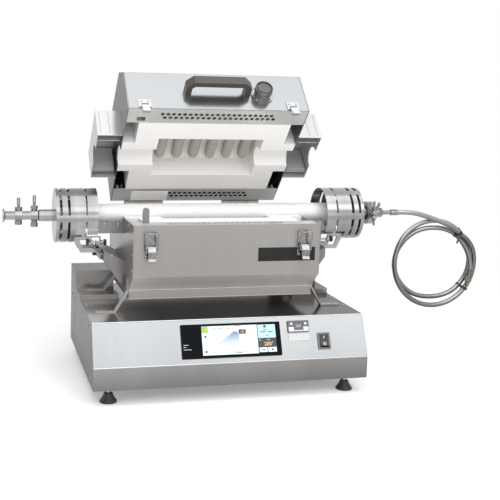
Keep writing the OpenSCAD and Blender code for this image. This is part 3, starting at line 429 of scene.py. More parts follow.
# Each strap hugs all strands that pass its place on the ring, and has a square head and a tail in front
strap_steps, strap_off, strap_section = 56, hose_r + 0.7, flat_bar(4.4, 1.2)
bm = bmesh.new()
for degrees in (50, -38):
    a = radians(degrees)
    out, way = Vector((cos(a), 0, sin(a))), Vector((-sin(a), 0, cos(a)))
    strands = []
    for p, q in zip(hose_line, hose_line[1:]):
        g, h = (p - ring_middle).dot(way), (q - ring_middle).dot(way)
        if g * h <= 0 and (p - ring_middle).dot(out) > 0 and g != h:
            m = p.lerp(q, g / (g - h)) - ring_middle
            strands.append((m.dot(out), m.y))
    loop = []
    for k in range(strap_steps):
        n = (cos(tau * k / strap_steps), sin(tau * k / strap_steps))
        s = max(strands, key=lambda c: c[0] * n[0] + c[1] * n[1])
        loop.append(ring_middle + out * (s[0] + strap_off * n[0]) + Vector((0, s[1] + strap_off * n[1], 0)))
    rings = []
    for k, p in enumerate(loop):
        n = out * cos(tau * k / strap_steps) + Vector((0, sin(tau * k / strap_steps), 0))
        rings.append([bm.verts.new(p + n * t + way * w) for t, w in strap_section])
    for k in range(strap_steps):
        for c in range(4):
            bm.faces.new((rings[k - 1][c], rings[k - 1][c - 1], rings[k][c - 1], rings[k][c]))
    front = min(loop, key=lambda p: p.y)
    head = bmesh.ops.create_cube(bm, size=1, matrix=Matrix.Translation(front + Vector((0, -1.6, 0)))
                                 @ Matrix.Rotation(-a, 4, "Y") @ Matrix.Diagonal((8, 4.4, 6.4, 1)))
    bmesh.ops.bevel(bm, geom=list(dict.fromkeys(e for v in head["verts"] for e in v.link_edges)),
                    offset=0.9, segments=2, affect="EDGES")
    tail = [front + Vector((0, -1.2 - 0.18 * t, -0.02 * t * t)) - out * t for t in (2, 8, 14, 20)]
    swept(bm, tail, strap_section, uv=False)
straps = piece("hose_straps", bm, strap_black.look, "root", 30)
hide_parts("cable_ties")
hose_length / 1000


# Base
# A low switchgear case folded from ground stainless sheet: a skirt, a sloped panel and a flat deck,
# with a stepped housing on each rear corner. Its screws are pan heads with a hexagon socket.

def ground(name, colour, rough, edge=0.0016, metal=0.9, bands=0.08, under=1.0, ends=1.0, smoother=0.0):
    """Ground stainless sheet: fine scratches, slow upright bands of tone and softly folded edges.

    Painted light and shade: the tone of faces that lean downwards is multiplied by under and of those at the
    left and right ends by ends; level faces are less rough, by smoother.
    """
    made = Finish(name, colour, rough, metal, edge)
    across = made.noise(made.stretched(11, 1.5, 1.5), 3, 0.55)
    sideways = made.facing.part(0).through("ShaderNodeMath", operation="ABSOLUTE")
    end_on = sideways > 0.7
    across_end = made.noise(made.stretched(1.5, 11, 1.5), 3, 0.55)
    band = across + end_on * (across_end - across)
    scratch = made.noise(made.stretched(25, 900, 900), 2, 0.6)
    up = made.facing.part(2)
    level = up > 0.9
    tone = made.between(band, *(tuple(c * (1 + k * bands) for c in colour) for k in (-2, 2)))
    # Painted light and shade, by under on faces that lean downwards and by ends on the two ends
    painted_lean_mask = (up * -1 > 0.3) - (up * -1 > 0.9)
    made.tone = made.scaled(tone, painted_lean_mask * (under - 1) + end_on * (ends - 1) + 1)
    made.set("Base Color", made.tone)
    made.set("Roughness", made.between(band * 0.85 + scratch * 0.15, rough - 0.04, rough + 0.06)
             - level * smoother)
    return made


# The ends of the case carry painted shade, by ends
base_steel = ground("base_steel", (0.26, 0.253, 0.247), 0.26, 0.0012, ends=0.85, smoother=0.13)
# Painted shade and light: the skirt is darker towards its lower edge, where it mirrors the bench, and
# towards its right end, and the deck brighter at its left; the slope has a painted cool reflection and is
# brighter to its right end
height = base_steel.place.part(2)
right = base_steel.place.part(0)
upward = base_steel.facing.part(2)
on_slope = (upward > 0.2) - (upward > 0.9)
on_skirt = 0.2 - upward > 0
base_steel.set("Specular Tint", (0.55, 0.55, 0.55, 1))
skirt_foot, skirt_top, above_deck, deck_turns_bright = 0.035, 0.082, 0.195, 0.15
skirt_painted_shade = ((height - skirt_foot) * (1 / (skirt_top - skirt_foot))).held()
at_left = ((right * -1 - deck_turns_bright) * 10).held()
deck_left_painted_light = at_left * (upward > 0.9) * (above_deck - height > 0)
shaded = base_steel.scaled(base_steel.tone, (skirt_painted_shade * 0.34 + 0.62) * (deck_left_painted_light * 1.6 + 1)
                           * (on_slope * (right * 0.25 + 0.14) - on_skirt * right * 0.35 + 1))
painted_cool_reflection = shaded.through("ShaderNodeVectorMath", {1: (0.943, 1.0, 1.05)}, operation="MULTIPLY")
base_steel.between(on_slope, shaded, painted_cool_reflection, "Base Color")
zinc = Finish("zinc_plated", (0.42, 0.43, 0.45), 0.4, 0.9)
zinc.mottled("Base Color", (0.36, 0.37, 0.39), (0.5, 0.51, 0.53), 30, 3)


def finish(made, *nodes):
    """Gives pieces of the frame their finish."""
    for node in nodes:
        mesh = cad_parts[node].data
        mesh.materials.clear()
        mesh.materials.append(made.look)


finish(base_steel, "base_shell", "base_steps")
finish(zinc, "base_floor_plate")

bright = Finish("bright_fastener", (0.38, 0.38, 0.385), (0.14, 0.32, 400, 3), 1.0, 0.0004)


def set_of_fasteners():
    """The tree that stands one fastener on every spot, facing its own way and turned at random."""
    tree = bpy.data.node_groups.new("fasteners_on_spots", "GeometryNodeTree")
    plug = tree.interface.new_socket
    plug("Spots", in_out="INPUT", socket_type="NodeSocketGeometry")
    inputs = {"Fastener": plug("Fastener", in_out="INPUT", socket_type="NodeSocketObject"),
              "Size": plug("Size", in_out="INPUT", socket_type="NodeSocketFloat"),
              "Seed": plug("Seed", in_out="INPUT", socket_type="NodeSocketInt"),
              "Finish": plug("Finish", in_out="INPUT", socket_type="NodeSocketMaterial")}
    plug("Set", in_out="OUTPUT", socket_type="NodeSocketGeometry")
    given = wired(tree, "NodeGroupInput")
    points = wired(tree, "GeometryNodeMeshToPoints", {0: given["Spots"]})
    source = wired(tree, "GeometryNodeObjectInfo", {0: given["Fastener"]})
    facing = wired(tree, "GeometryNodeInputNamedAttribute", {"Name": "facing"}, data_type="FLOAT_VECTOR")
    upright = wired(tree, "FunctionNodeAlignRotationToVector", {"Vector": facing["Attribute"]}, axis="Z")
    chance = wired(tree, "FunctionNodeRandomValue", {2: 0.0, 3: tau, "Seed": given["Seed"]},
                   data_type="FLOAT")
    spin = wired(tree, "FunctionNodeAxisAngleToRotation", {"Axis": (0, 0, 1), "Angle": chance[1]})
    turn = wired(tree, "FunctionNodeRotateRotation", {"Rotation": upright[0], "Rotate By": spin[0]},
                 rotation_space="LOCAL")
    put = wired(tree, "GeometryNodeInstanceOnPoints", {
        "Points": points[0], "Instance": source["Geometry"], "Rotation": turn[0], "Scale": given["Size"]})
    real = wired(tree, "GeometryNodeRealizeInstances", {0: put[0]})
    coat = wired(tree, "GeometryNodeSetMaterial", {0: real[0], "Material": given["Finish"]})
    wired(tree, "NodeGroupOutput", {0: coat[0]})
    return tree, {word: s.identifier for word, s in inputs.items()}


fastener_tree, fastener_plugs = set_of_fasteners()


def hex_socket_screw():
    """A pan head of radius 1 with a hexagon socket and a thin washer under it."""
    sides, top, socket_foot, socket_r = 24, 0.7, 0.25, 0.42
    bm = bmesh.new()
    turned(bm, [(0, 0), (1.28, 0), (1.28, 0.14), (1.02, 0.16), (1.0, 0.35), (0.82, 0.62), (0.62, top)],
           (0, 0, 0), (0, 0, 1), sides)
    closing = [f for f in bm.faces if len(f.verts) == sides and all(v.co.z > 0.6 for v in f.verts)]
    for f in closing:
        bm.faces.remove(f)
    rim = [v for v in bm.verts if abs(v.co.z - top) < 1e-4]
    rim.sort(key=lambda v: atan2(v.co.y, v.co.x))
    hexagon = []
    for level in (top, socket_foot):
        hexagon.append([bm.verts.new((socket_r * cos(tau * k / 6), socket_r * sin(tau * k / 6), level))
                        for k in range(6)])
    start = next(i for i, v in enumerate(rim) if abs(atan2(v.co.y, v.co.x)) < 0.01)
    rim = rim[start:] + rim[:start]
    for k in range(sides):
        a, b = rim[k], rim[(k + 1) % sides]
        h, j = hexagon[0][(k // 4) % 6], hexagon[0][((k + 1) // 4) % 6]
        bm.faces.new((a, b, j, h) if h is not j else (a, b, h))
    for k in range(6):
        q = (k + 1) % 6
        bm.faces.new((hexagon[0][k], hexagon[0][q], hexagon[1][q], hexagon[1][k]))
    bm.faces.new(hexagon[1])
    bmesh.ops.recalc_face_normals(bm, faces=bm.faces)
    mesh = bpy.data.meshes.new("screw_shape")
    bm.to_mesh(mesh)
    bm.free()
    mesh.shade_smooth()
    mesh.set_sharp_from_angle(angle=radians(30))
    made = bpy.data.objects.new("screw_shape", mesh)
    bpy.context.scene.collection.objects.link(made)
    made.hide_render = True
    return made


screw_shape = hex_socket_screw()
fastener_seed = 5


def fastened(name, spots, made, body, size):
    """Screws or rivets with heads of radius size, each spot a place and the way its head faces."""
    points = bpy.data.meshes.new(name)
    points.from_pydata([Vector(p) * millimetre for p, _ in spots], [], [])
    facing = points.attributes.new("facing", "FLOAT_VECTOR", "POINT")
    for i, (_, way) in enumerate(spots):
        facing.data[i].vector = way
    holder = bpy.data.objects.new(name + "_spots", points)
    bpy.context.scene.collection.objects.link(holder)
    step = holder.modifiers.new("set", "NODES")
    step.node_group = fastener_tree
    for word, value in (("Fastener", screw_shape), ("Size", size * millimetre), ("Seed", fastener_seed),
                        ("Finish", made.look)):
        step[fastener_plugs[word]] = value
    bpy.context.view_layer.update()
    graph = bpy.context.evaluated_depsgraph_get()
    mesh = bpy.data.meshes.new_from_object(holder.evaluated_get(graph), depsgraph=graph)
    mesh.name = name
    bpy.data.objects.remove(holder)
    mesh.materials.clear()
    mesh.materials.append(made.look)
    piece_made = bpy.data.objects.new(name, mesh)
    bpy.context.scene.collection.objects.link(piece_made)
    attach(piece_made, body)
    return piece_made


base_half, base_back, deck_top = 300, 187, 168
case_spots = []
for s in (-1, 1):
    case_spots += [((s * (base_half - 10), y, deck_top), (0, 0, 1)) for y in (-121, -43)]
    case_spots += [((s * base_half, y, z), (s, 0, 0)) for y, z in
                   ((-205, 52), (-28, 52), (150, 52), (-150, 150), (-28, 150), (165, 150), (165, 205),
                    (104, 205))]
    case_spots += [((s * x, base_back, z), (0, 1, 0)) for x, z in
                   ((290, 50), (290, 150), (290, 208), (222, 150), (222, 208))]
fastened("case_screws", case_spots, bright, "root", 2.6)

seam_black = Finish("seam_shadow", (0.03, 0.03, 0.03), 0.8)
seam_black.pitted(500, 0.1, 0.0002)


def bars(bm, boxes, turn=None, round_by=0.0):
    """Plain bars given by their low and high corners, with their edges broken by round_by."""
    for low, high in boxes:
        low, high = Vector(low), Vector(high)
        whole = Matrix.Translation((low + high) / 2) @ Matrix.Diagonal((*(high - low), 1))
        new = bmesh.ops.create_cube(bm, size=1, matrix=whole)["verts"]
        if round_by:
            edges = list(dict.fromkeys(e for v in new for e in v.link_edges))
            new = bmesh.ops.bevel(bm, geom=edges, offset=round_by, segments=2, affect="EDGES")["verts"]
        if turn is not None:
            bmesh.ops.transform(bm, matrix=turn, verts=new)


# The panel slope starts at its lower front edge and runs back and up to the deck
slope_y, slope_z, slope_run, slope_rise = -243, 82, 38, 86
slope_long = hypot(slope_run, slope_rise)
# Dark upright seams in the two ends of the case, where its sheets meet
bm = bmesh.new()
for low_x, high_x in ((-base_half - 0.15, 0.4 - base_half), (base_half - 0.4, base_half + 0.15)):
    bars(bm, [((low_x, y, slope_z), (high_x, y + 0.8, deck_top - 1)) for y in (-203, 100)], round_by=0.1)
piece("case_seams", bm, seam_black.look, "root")


def rod(bm, line, r, sides=12):
    """A round bar along a line of places."""
    swept(bm, [Vector(p) for p in line], disc(r, sides), uv=False)


# The two long folds of the panel are rolled, and catch the light as a bright line; their colour, brighter
# than the sheet's, is a painted highlight
fold_painted_highlight = Finish("rolled_fold_painted_highlight", (0.5, 0.5, 0.495), (0.24, 0.38, 20, 3), 1.0)
bm = bmesh.new()
for y, z in ((slope_y + slope_run + 0.4, deck_top - 0.8), (slope_y + 0.8, slope_z + 0.1)):
    rod(bm, [(x, y, z) for x in (0.6 - base_half, 0, base_half - 0.6)], 1.5, 16)
piece("case_folds", bm, fold_painted_highlight.look, "root", 60)


# Levelling feet
# Four moulded black rubber cones with ribs, one under each corner of the case. Each is held by a
# bright threaded stud with a nut above and below, which sets its height.

foot_rubber = Finish("foot_rubber", (0.022, 0.021, 0.02), (0.38, 0.62, 300, 4))
foot_rubber.pitted(1500, 0.15, 0.0002)
# Outline of a cone as (radius, height), hollow round its stud
cone = [(0, 0), (17.6, 0), (18.5, 0.8), (18.5, 2.4), (17.9, 3.4), (17.2, 3.8), (17.0, 4.6), (15.6, 7),
        (14.2, 8), (13.9, 9), (12.6, 11.6), (11.6, 12.4), (11.3, 13.4), (10, 17.5), (9, 19.6),
        (8.4, 20), (4.6, 20), (4.3, 19.4), (4.3, 10.5), (0, 10.5)]
bm = bmesh.new()
for x in (-263, 263):
    for y in (-206, 150):
        turned(bm, cone, (x, y, 0), (0, 0, 1), 48)
pads = piece("foot_cones", bm, foot_rubber.look, "root", 28)
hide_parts("foot_pads")
finish(bright, "foot_studs")


# Touch display
# A black glass panel, flush on the slope over a plastic housing, lit from behind. It shows a plain
# programme screen: a heating curve, a few rows of readings, a number and two keys.

# Places on the slope are given flat, from its lower front edge, and panel lays them on it
panel = (Matrix.Translation((0, slope_y, slope_z))
         @ Matrix.Rotation(radians(90) - atan(slope_run / slope_rise), 4, "X"))
housing_black = Finish("housing_black", (0.03, 0.03, 0.032), (0.45, 0.65, 60))
housing_black.pitted(900, 0.2, 0.0002)
finish(housing_black, "display_housing")
glass = Finish("display_glass", (0.006, 0.0065, 0.008), (0.05, 0.13, 25, 3), edges=0.0008,
               Specular_IOR_Level=0.1, IOR=1.2)
finish(glass, "display_glass")


def lit(name, colour, glow):
    """A lit patch of the screen, with the faint grid of its pixels."""
    made = Finish(name, colour, 0.25, Emission_Strength=glow)
    made.set("Emission Color", (*colour, 1))
    made.mottled("Base Color", tuple(c * 0.92 for c in colour), tuple(min(1, c * 1.05) for c in colour),
                 2500, 1)
    return made


screen = {}
for word, colour, glow in (
        ("white", (0.66, 0.74, 0.78), 0.16), ("blue", (0.40, 0.6, 0.7), 0.15),
        ("dark", (0.012, 0.016, 0.022), 0.0), ("green", (0.3, 0.42, 0.1), 0.15),
        ("line", (0.06, 0.09, 0.1), 0.0), ("amber", (0.75, 0.56, 0.16), 0.25),
        ("pale", (0.42, 0.47, 0.48), 0.1)):
    screen[word] = lit(f"screen_{word}", colour, glow)
# The glass is 219 by 72 mm, in the middle of the slope's length; its face stands 3 mm proud
display_x, display_wide, display_high, glass_face, layer_thick = -4.5, 219, 72, 3.0, 0.12
left, low = display_x - display_wide / 2, (slope_long - display_high) / 2
# Each patch: its left, right, lower and upper edge on the glass, in millimetres, and its layer
patches = {
    "white": [(45, 167, 6, 67, 1), (169, 187, 8, 18, 1), (188.5, 207.5, 8, 18, 1), (171, 173, 33, 35, 2)],
    "blue": [(168.5, 208, 38, 66.5, 1)],
    "dark": [(168.5, 208, 19, 37.5, 1), (126, 142, 48.6, 58, 2), (118, 132, 66, 69, 2),
             (175, 177, 11, 15, 2), (178.5, 180.5, 11, 15, 2), (196, 200, 11, 15, 2), (182, 187, 60, 65, 2),
             (50.5, 55, 43, 47, 2), (50, 55, 11.5, 15.5, 2)],
    "line": [(63, 165, 11.3, 11.8, 2), (65.3, 65.7, 9, 57, 2), (102, 105, 60, 62, 2), (174, 186, 50, 52, 2),
             (191, 202, 50, 52, 2), (181, 188, 55, 56.5, 2), (117, 131, 8.6, 10, 2),
             (187.5, 190.5, 41.5, 44, 2)],
    "pale": [(4, 15, 28.4, 29.6, 1), (4, 9.5, 24, 25.2, 1), (4, 21, 18.8, 20, 1), (133, 146, 8.8, 9.8, 2),
             (187, 194, 33, 34.4, 2)] + [(65.7, 165, v, v + 0.2, 2) for v in (24, 36.5, 49)],
    "green": [(45, 59, 53, 66.5, 2)]}
for word, rows in patches.items():
    bm = bmesh.new()
    bars(bm, [((left + a, low + b, glass_face + 0.02), (left + c, low + d, glass_face + layer_thick * layer))
              for a, c, b, d, layer in rows])
    piece(f"screen_{word}_patches", bm, screen[word].look, "root", turn=panel)
# The heating curve: a grey line, and under it a tint that fades out towards the foot of the chart
curve = [(66, 22), (76, 27.5), (92, 37), (104, 46), (112, 52.5), (116.5, 54.6), (121, 54), (124, 51.5),
         (126, 46)]
foot, crown = ((panel @ Vector((0, low + v, 0))).z / 1000 for v in (19, 55))
chart_tint = lit("chart_tint", (0.5, 0.62, 0.74), 0.12)
up_chart = (chart_tint.place.part(2) - foot) * (1 / (crown - foot))
for word in ("Base Color", "Emission Color"):
    chart_tint.between(up_chart, (0.7, 0.8, 0.86), (0.13, 0.19, 0.3), word)
bm = bmesh.new()
edge = curve + [(127.5, 22), (127.8, 16), (66, 16)]
rings = []
for level in (0.14, 0.27):
    rings.append([bm.verts.new((left + u, low + v, glass_face + level)) for u, v in edge])
    bm.faces.new(rings[-1])
for k in range(len(edge)):
    bm.faces.new((rings[0][k - 1], rings[0][k], rings[1][k], rings[1][k - 1]))
piece("chart_area", bm, chart_tint.look, "root", turn=panel)
bm = bmesh.new()
rod(bm, [(left + u, low + v, glass_face + 0.3) for u, v in curve], 0.45, 8)
piece("chart_line", bm, screen["pale"].look, "root", turn=panel)


def figures(name, words, height, place, made, thick=0.1):
    """Raised plain figures on the panel, such as a number on a display."""
    text = bpy.data.curves.new(name, "FONT")
    text.body, text.size, text.extrude, text.align_x = words, height, thick, "CENTER"
    holder = bpy.data.objects.new(name + "_line", text)
    bpy.context.scene.collection.objects.link(holder)
    graph = bpy.context.evaluated_depsgraph_get()
    mesh = bpy.data.meshes.new_from_object(holder.evaluated_get(graph), depsgraph=graph)
    bpy.data.objects.remove(holder)
    bm = bmesh.new()
    bm.from_mesh(mesh)
    bpy.data.meshes.remove(mesh)
    piece(name, bm, made.look, "root", turn=panel @ Matrix.Translation(place))


for name, words, high, u, v, level, word in (("screen_number", "200°", 11, 191, 21.5, 0.2, "amber"),
                                             ("screen_clock", "12:45  08-30", 5, 80, 59.6, 0.2, "line"),
                                             ("screen_reading", "185", 5.5, 134, 51.4, 0.25, "amber")):
    figures(name, words, high, (left + u, low + v, glass_face + level), screen[word])


# Limit controller
# A 48 by 25 mm controller clipped into the slope: a dark face with a smoked window, a white lower
# part and round keys in its upper corners. A bare metal plate is stuck below it.

case_grey = Finish("controller_case", (0.1, 0.1, 0.115), (0.32, 0.5, 200), edges=0.0006)
key_white = Finish("key_white", (0.78, 0.78, 0.8), (0.22, 0.36, 300), edges=0.0004)
finish(case_grey, "limiter_case")
finish(key_white, "limiter_button_left", "limiter_button_right")
controller_x = 147
bm = bmesh.new()
bars(bm, [((controller_x - 22.4, 60.2, 3.9), (controller_x - 10.8, 69.6, 4.5)),
          ((controller_x + 10.8, 60.2, 3.9), (controller_x + 22.4, 69.6, 4.5)),
          ((controller_x - 10.4, 60.2, 3.9), (controller_x + 10.4, 62.6, 4.4))], round_by=0.25)
piece("controller_keys", bm, key_white.look, "root", turn=panel)
smoked = lit("smoked_window", (0.085, 0.085, 0.09), 0.02)
bm = bmesh.new()
bars(bm, [((controller_x - 10.8, 64.8, 3.1), (controller_x + 10.8, 79.2, 3.5))], round_by=0.15)
piece("controller_window", bm, smoked.look, "root", turn=panel)
figures("controller_reading", "250", 8, (controller_x, 69.4, 3.55), screen["pale"], 0.05)
plate_silver = ground("bare_plate", (0.42, 0.42, 0.415), 0.34, 0.0003, 0.6, 0.02)
bm = bmesh.new()
bars(bm, [((controller_x - 24, 40, 0.0), (controller_x + 24, 55.5, 0.7))], round_by=0.25)
piece("bare_plate", bm, plate_silver.look, "root", turn=panel)


# Rocker switch
# A double-pole mains switch snapped into the slope: a moulded grey frame and in it a black rocker,
# with the usual marks for on and off moulded on in white.

switch_grey = Finish("switch_frame", (0.13, 0.126, 0.122), (0.34, 0.52, 200), edges=0.0006)
rocker_black = Finish("rocker_black", (0.02, 0.02, 0.021), (0.24, 0.4, 200), edges=0.0008)
finish(switch_grey, "rocker_frame")
finish(rocker_black, "rocker_switch")
# The rocker is tipped to one side, and its top is a shallow V of two faces, each with a mark
rocker_turn = panel @ Matrix.Translation((203, 37.5, -4)) @ Matrix.Rotation(radians(-8), 4, "X")
half_slope = atan(0.2)
face_up, face_down = (rocker_turn @ Matrix.Translation((0, 0, 6)) @ Matrix.Rotation(turn, 4, "X")
                      for turn in (half_slope, -half_slope))
bm = bmesh.new()
bars(bm, [((-0.8, 4.4, 0), (0.8, 10, 0.3))], turn=face_up)
turned(bm, [(2, 0), (3.3, 0), (3.3, 0.3), (2, 0.3), (2, 0)], face_down @ Vector((0, -7.5, 0)),
       face_down.to_3x3() @ Vector((0, 0, 1)), 24)
piece("rocker_marks", bm, key_white.look, "rocker")


# Mains inlet and rear
# A moulded inlet with three flat contacts, held in the rear wall of the base by two screws. The power
# relay stands inside, on the floor plate, against a finned aluminium heat sink.

finish(housing_black, "power_inlet")
finish(zinc, "relay_heatsink")
inlet_x, inlet_z = 215, 84
inlet_spots = [((inlet_x + dx, base_back + 3, inlet_z), (0, 1, 0)) for dx in (-21, 21)]
fastened("inlet_screws", inlet_spots, bright, "root", 2.4)


# Furnace body
# The lower half: a folded case of ground sheet, open at the top, with separate end plates and a
# perforated rim strip. Screws hold the end plates; a bare dark plate is stuck to its front.

# Painted light on the body's downward leaning chamfer, by under, and painted shade on its end plates, by
# ends
body_steel = ground("body_steel", (0.285, 0.271, 0.26), 0.28, 0.0008, metal=0.62, under=3.2, ends=0.78)
rim_steel = ground("rim_steel", (0.58, 0.575, 0.562), 0.3, 0.0004, 0.5, 0.03)
finish(body_steel, "body_shell", "body_ends")
finish(rim_steel, "body_rim")
body_half, body_front = 209, -168
end_spots = [((s * body_half, y, z), (s, 0, 0)) for s in (-1, 1) for y, z in
             ((-158, 266), (-158, 300), (-158, 335), (158, 266), (158, 335), (-126, 226), (126, 226),
              (-90, 204), (90, 204), (-100, 355), (100, 355))]
fastened("body_screws", end_spots, bright, "root", 2.3)
bm = bmesh.new()
bars(bm, [((67, body_front - 0.6, 283), (198, body_front + 0.1, 313))], round_by=0.2)
plate_black = Finish("plate_black", (0.009, 0.009, 0.0095), (0.36, 0.5, 90), Specular_IOR_Level=0.25)
piece("body_plate", bm, plate_black.look, "root")
# Folded lips stand out a little along the body's lower front edge and the tops of its end plates
bm = bmesh.new()
bars(bm, [((-body_half, -120.9, 196.2), (body_half, -119.9, 197.4)),
          ((-body_half - 0.8, body_front - 0.4, 363), (0.4 - body_half, -60, 364.6)),
          ((body_half - 0.4, body_front - 0.4, 363), (body_half + 0.8, -60, 364.6))], round_by=0.3)
rod(bm, [(x, -120.2, 216) for x in (0.4 - body_half, 0, body_half - 0.4)], 1.0)
piece("body_lips", bm, rim_steel.look, "root")


# Legs, brackets, end trays and cradles
# Two folded struts on each side stand on the deck; outside them a tray, a bracket and a cradle
# carry each end of the tube. A thumb screw and a pair of clamps with black star knobs hold a cradle.

leg_steel = ground("leg_steel", (0.33, 0.32, 0.31), 0.34, 0.0005, 0.7)
tray_steel = ground("tray_steel", (0.2, 0.192, 0.186), 0.26, 0.0005, 0.85)
finish(leg_steel, "leg_brackets", "cradle_left", "cradle_right")
finish(tray_steel, "end_trays", "tube_brackets")
knob_black = Finish("knob_black", (0.02, 0.02, 0.02), (0.32, 0.52, 300), edges=0.0005)
finish(knob_black, "thumb_screw_left", "thumb_screw_right")


def star_knob(bm, middle, r, thick):
    """A moulded knob with six rounded lobes and broken edges, on an axis that runs sideways."""
    lobes, steps = 6, 60
    to = Matrix.Translation(Vector(middle)) @ Vector((1, 0, 0)).to_track_quat("Z", "Y").to_matrix().to_4x4()
    rings = []
    for z, share in ((-0.5, 0.86), (-0.36, 1.0), (0.36, 1.0), (0.5, 0.86)):
        ring = []
        for k in range(steps):
            a = tau * k / steps
            out = share * r * (0.86 + 0.14 * cos(lobes * a))
            ring.append(bm.verts.new(to @ Vector((out * cos(a), out * sin(a), z * thick))))
        rings.append(ring)
    for a, b in zip(rings, rings[1:]):
        for k in range(steps):
            bm.faces.new((a[k - 1], a[k], b[k], b[k - 1]))
    bm.faces.new(rings[0])
    bm.faces.new(rings[-1])


for s, side in ((-1, "left"), (1, "right")):
    bm = bmesh.new()
    star_knob(bm, (289 * s, -33, 308), 7.5, 6)
    star_knob(bm, (250 * s, -35, 308), 7.5, 6)
    star_knob(bm, (244 * s, -34, 281), 6.5, 6)
    piece(f"clamp_knobs_{side}", bm, knob_black.look, "root", 25)
    bm = bmesh.new()
    rod(bm, [(291 * s, -33, 308), (247 * s, -35, 308)], 2.2)
    rod(bm, [(262 * s, -34, 281), (236 * s, -34, 281)], 3.2)
    for x in (258, 280):
        turned(bm, [(0, -3), (4.6, -3), (5.2, -2.4), (5.2, 2.4), (4.6, 3), (0, 3)], (x * s, -33.4, 308),
               (1, 0, 0), 20)
    # A bridge and its two cheeks: distances from the middle, then lower and upper edge
    for inner, outer, foot, top in ((260, 283, 319, 321.5), (260, 263, 300, 321), (280, 283, 300, 321)):
        bars(bm, [((min(inner * s, outer * s), -36.5, foot), (max(inner * s, outer * s), -30.5, top))],
             round_by=0.6)
    arm = [(286 * s, -31, 314), (280 * s, -31.5, 305), (266 * s, -31.5, 286), (262 * s, -31, 276)]
    swept(bm, [Vector(p) for p in arm], [(4.5, 1.2), (-4.5, 1.2), (-4.5, -1.2), (4.5, -1.2)], uv=False)
    piece(f"clamp_frame_{side}", bm, leg_steel.look, "root", 40)

# Screws of the legs: one in the foot of each strut, and two on its slant, at shares t of its width
leg_rows = ((-113, deck_top), (59, deck_top + 12))
leg_foot, leg_in, leg_wide, leg_top = 267, 212, 23, 212
strut = Vector((48, 0, 27)).normalized()
leg_spots = [((leg_foot * s, y, z + 3), (0, 0, 1)) for s in (-1, 1) for y, z in leg_rows]
leg_spots += [((s * (leg_in + leg_wide * t), y, z + (leg_top - z) * (1 - t)), (s * strut.x, 0, strut.z))
              for s in (-1, 1) for y, z in leg_rows for t in (0.25, 0.75)]
fastened("leg_screws", leg_spots, bright, "root", 2.5)
tray_spots = [((s * 266, y, 342), (s, 0, 0)) for s in (-1, 1) for y in (-38, 38)]
tray_spots += [((s * x, -48, 350), (0, -1, 0)) for s in (-1, 1) for x in (222, 254)]
tray_spots += [((s * 240, -78, 285), (0, -1, 0)) for s in (-1, 1)]
fastened("tray_screws", tray_spots, bright, "root", 2.3)


# Insulation and heating rods
# Both halves are blocks of pressed white fibre, cut square round the chamber, with six ceramic
# covered heating rods lying in grooves of each half.

fibre = Finish("pressed_fibre", (0.87, 0.85, 0.83), 0.95, Specular_IOR_Level=0.15)
layers = fibre.noise(fibre.stretched(14, 14, 420), 4, 0.6)
fluff = fibre.noise(fibre.stretched(900, 900, 900), 3, 0.6)
fibre.between(layers * 0.6 + fluff * 0.4, (0.84, 0.82, 0.795), (0.96, 0.945, 0.93), "Base Color")
fibre.bump(layers * 0.5 + fluff * 0.5, 0.4, 0.0005)
rod_clay = Finish("rod_ceramic", (0.43, 0.395, 0.35), 0.7)
rod_clay.mottled("Base Color", (0.34, 0.312, 0.275), (0.53, 0.495, 0.445), 70, 3)
rod_clay.pitted(700, 0.3, 0.0003)
finish(fibre, "body_insulation", "lid_insulation")
finish(rod_clay, "body_heating_rods", "lid_heating_rods")


# Lid
# The upper half is the same box turned over and hinged at the back. Pockets of folded sheet close
# its ends, and a moulded bow handle and a round capped vent stand on its front.

hinge_y, hinge_z, lid_low, lid_turn = 181, 371, 365.5, radians(44)


def opened_way(x, y, z):
    """Where a direction of the closed lid points when the lid is open as drawn."""
    return (x, y * cos(lid_turn) + z * sin(lid_turn), z * cos(lid_turn) - y * sin(lid_turn))


def opened(x, y, z):
    """Where a point of the closed lid stands when the lid is open as drawn."""
    x, y, z = opened_way(x, y - hinge_y, z - hinge_z)
    return (x, hinge_y + y, hinge_z + z)


to_hinge = Matrix.Translation((0, hinge_y, hinge_z))
lid_open = to_hinge @ Matrix.Rotation(-lid_turn, 4, "X") @ to_hinge.inverted()
# Painted shade on the lid's end plates, by ends
lid_steel = ground("lid_steel", (0.285, 0.294, 0.3), 0.18, 0.002, 0.9, 0.03, ends=0.85)
lid_steel.set("Specular Tint", (0.5, 0.5, 0.5, 1))
pocket_steel = ground("pocket_steel", (0.46, 0.453, 0.446), 0.26, 0.0006, 0.35)
# The outer front of a pocket is brighter metal; forward is how far a point lies towards the lid's front
pocket_front = 0.37
forward = pocket_steel.place.through("ShaderNodeVectorMath", {1: opened_way(0, -1, 0)}, "Value",
                                     operation="DOT_PRODUCT")
outer_front = (pocket_steel.facing.part(2) > 0.6) * (forward > pocket_front)
pocket_steel.set("Base Color", pocket_steel.scaled(pocket_steel.tone, outer_front * -0.35 + 1.12))
pocket_steel.between(outer_front, 0.35, 0.9, "Metallic")
pocket_steel.between(outer_front, 0.3, 0.18, "Roughness")
finish(lid_steel, "lid_shell", "lid_ends")
finish(pocket_steel, "lid_pockets")
finish(rim_steel, "lid_rim")
handle_brown = Finish("handle_brown", (0.05, 0.041, 0.037), (0.28, 0.46, 400), edges=0.0025)
finish(handle_brown, "lid_handle")
vent_steel = ground("vent_steel", (0.3, 0.29, 0.28), 0.26, 0.0005)
finish(vent_steel, "vent_cap")
vent_dark = Finish("vent_gauze", (0.1, 0.095, 0.09), 0.5, 0.6)
gauze = vent_dark.noise(vent_dark.stretched(1500, 1500, 1500), 1)
vent_dark.between(gauze, (0.03, 0.03, 0.03), (0.22, 0.21, 0.2), "Base Color")
vent_dark.bump(gauze, 0.5, 0.0004)
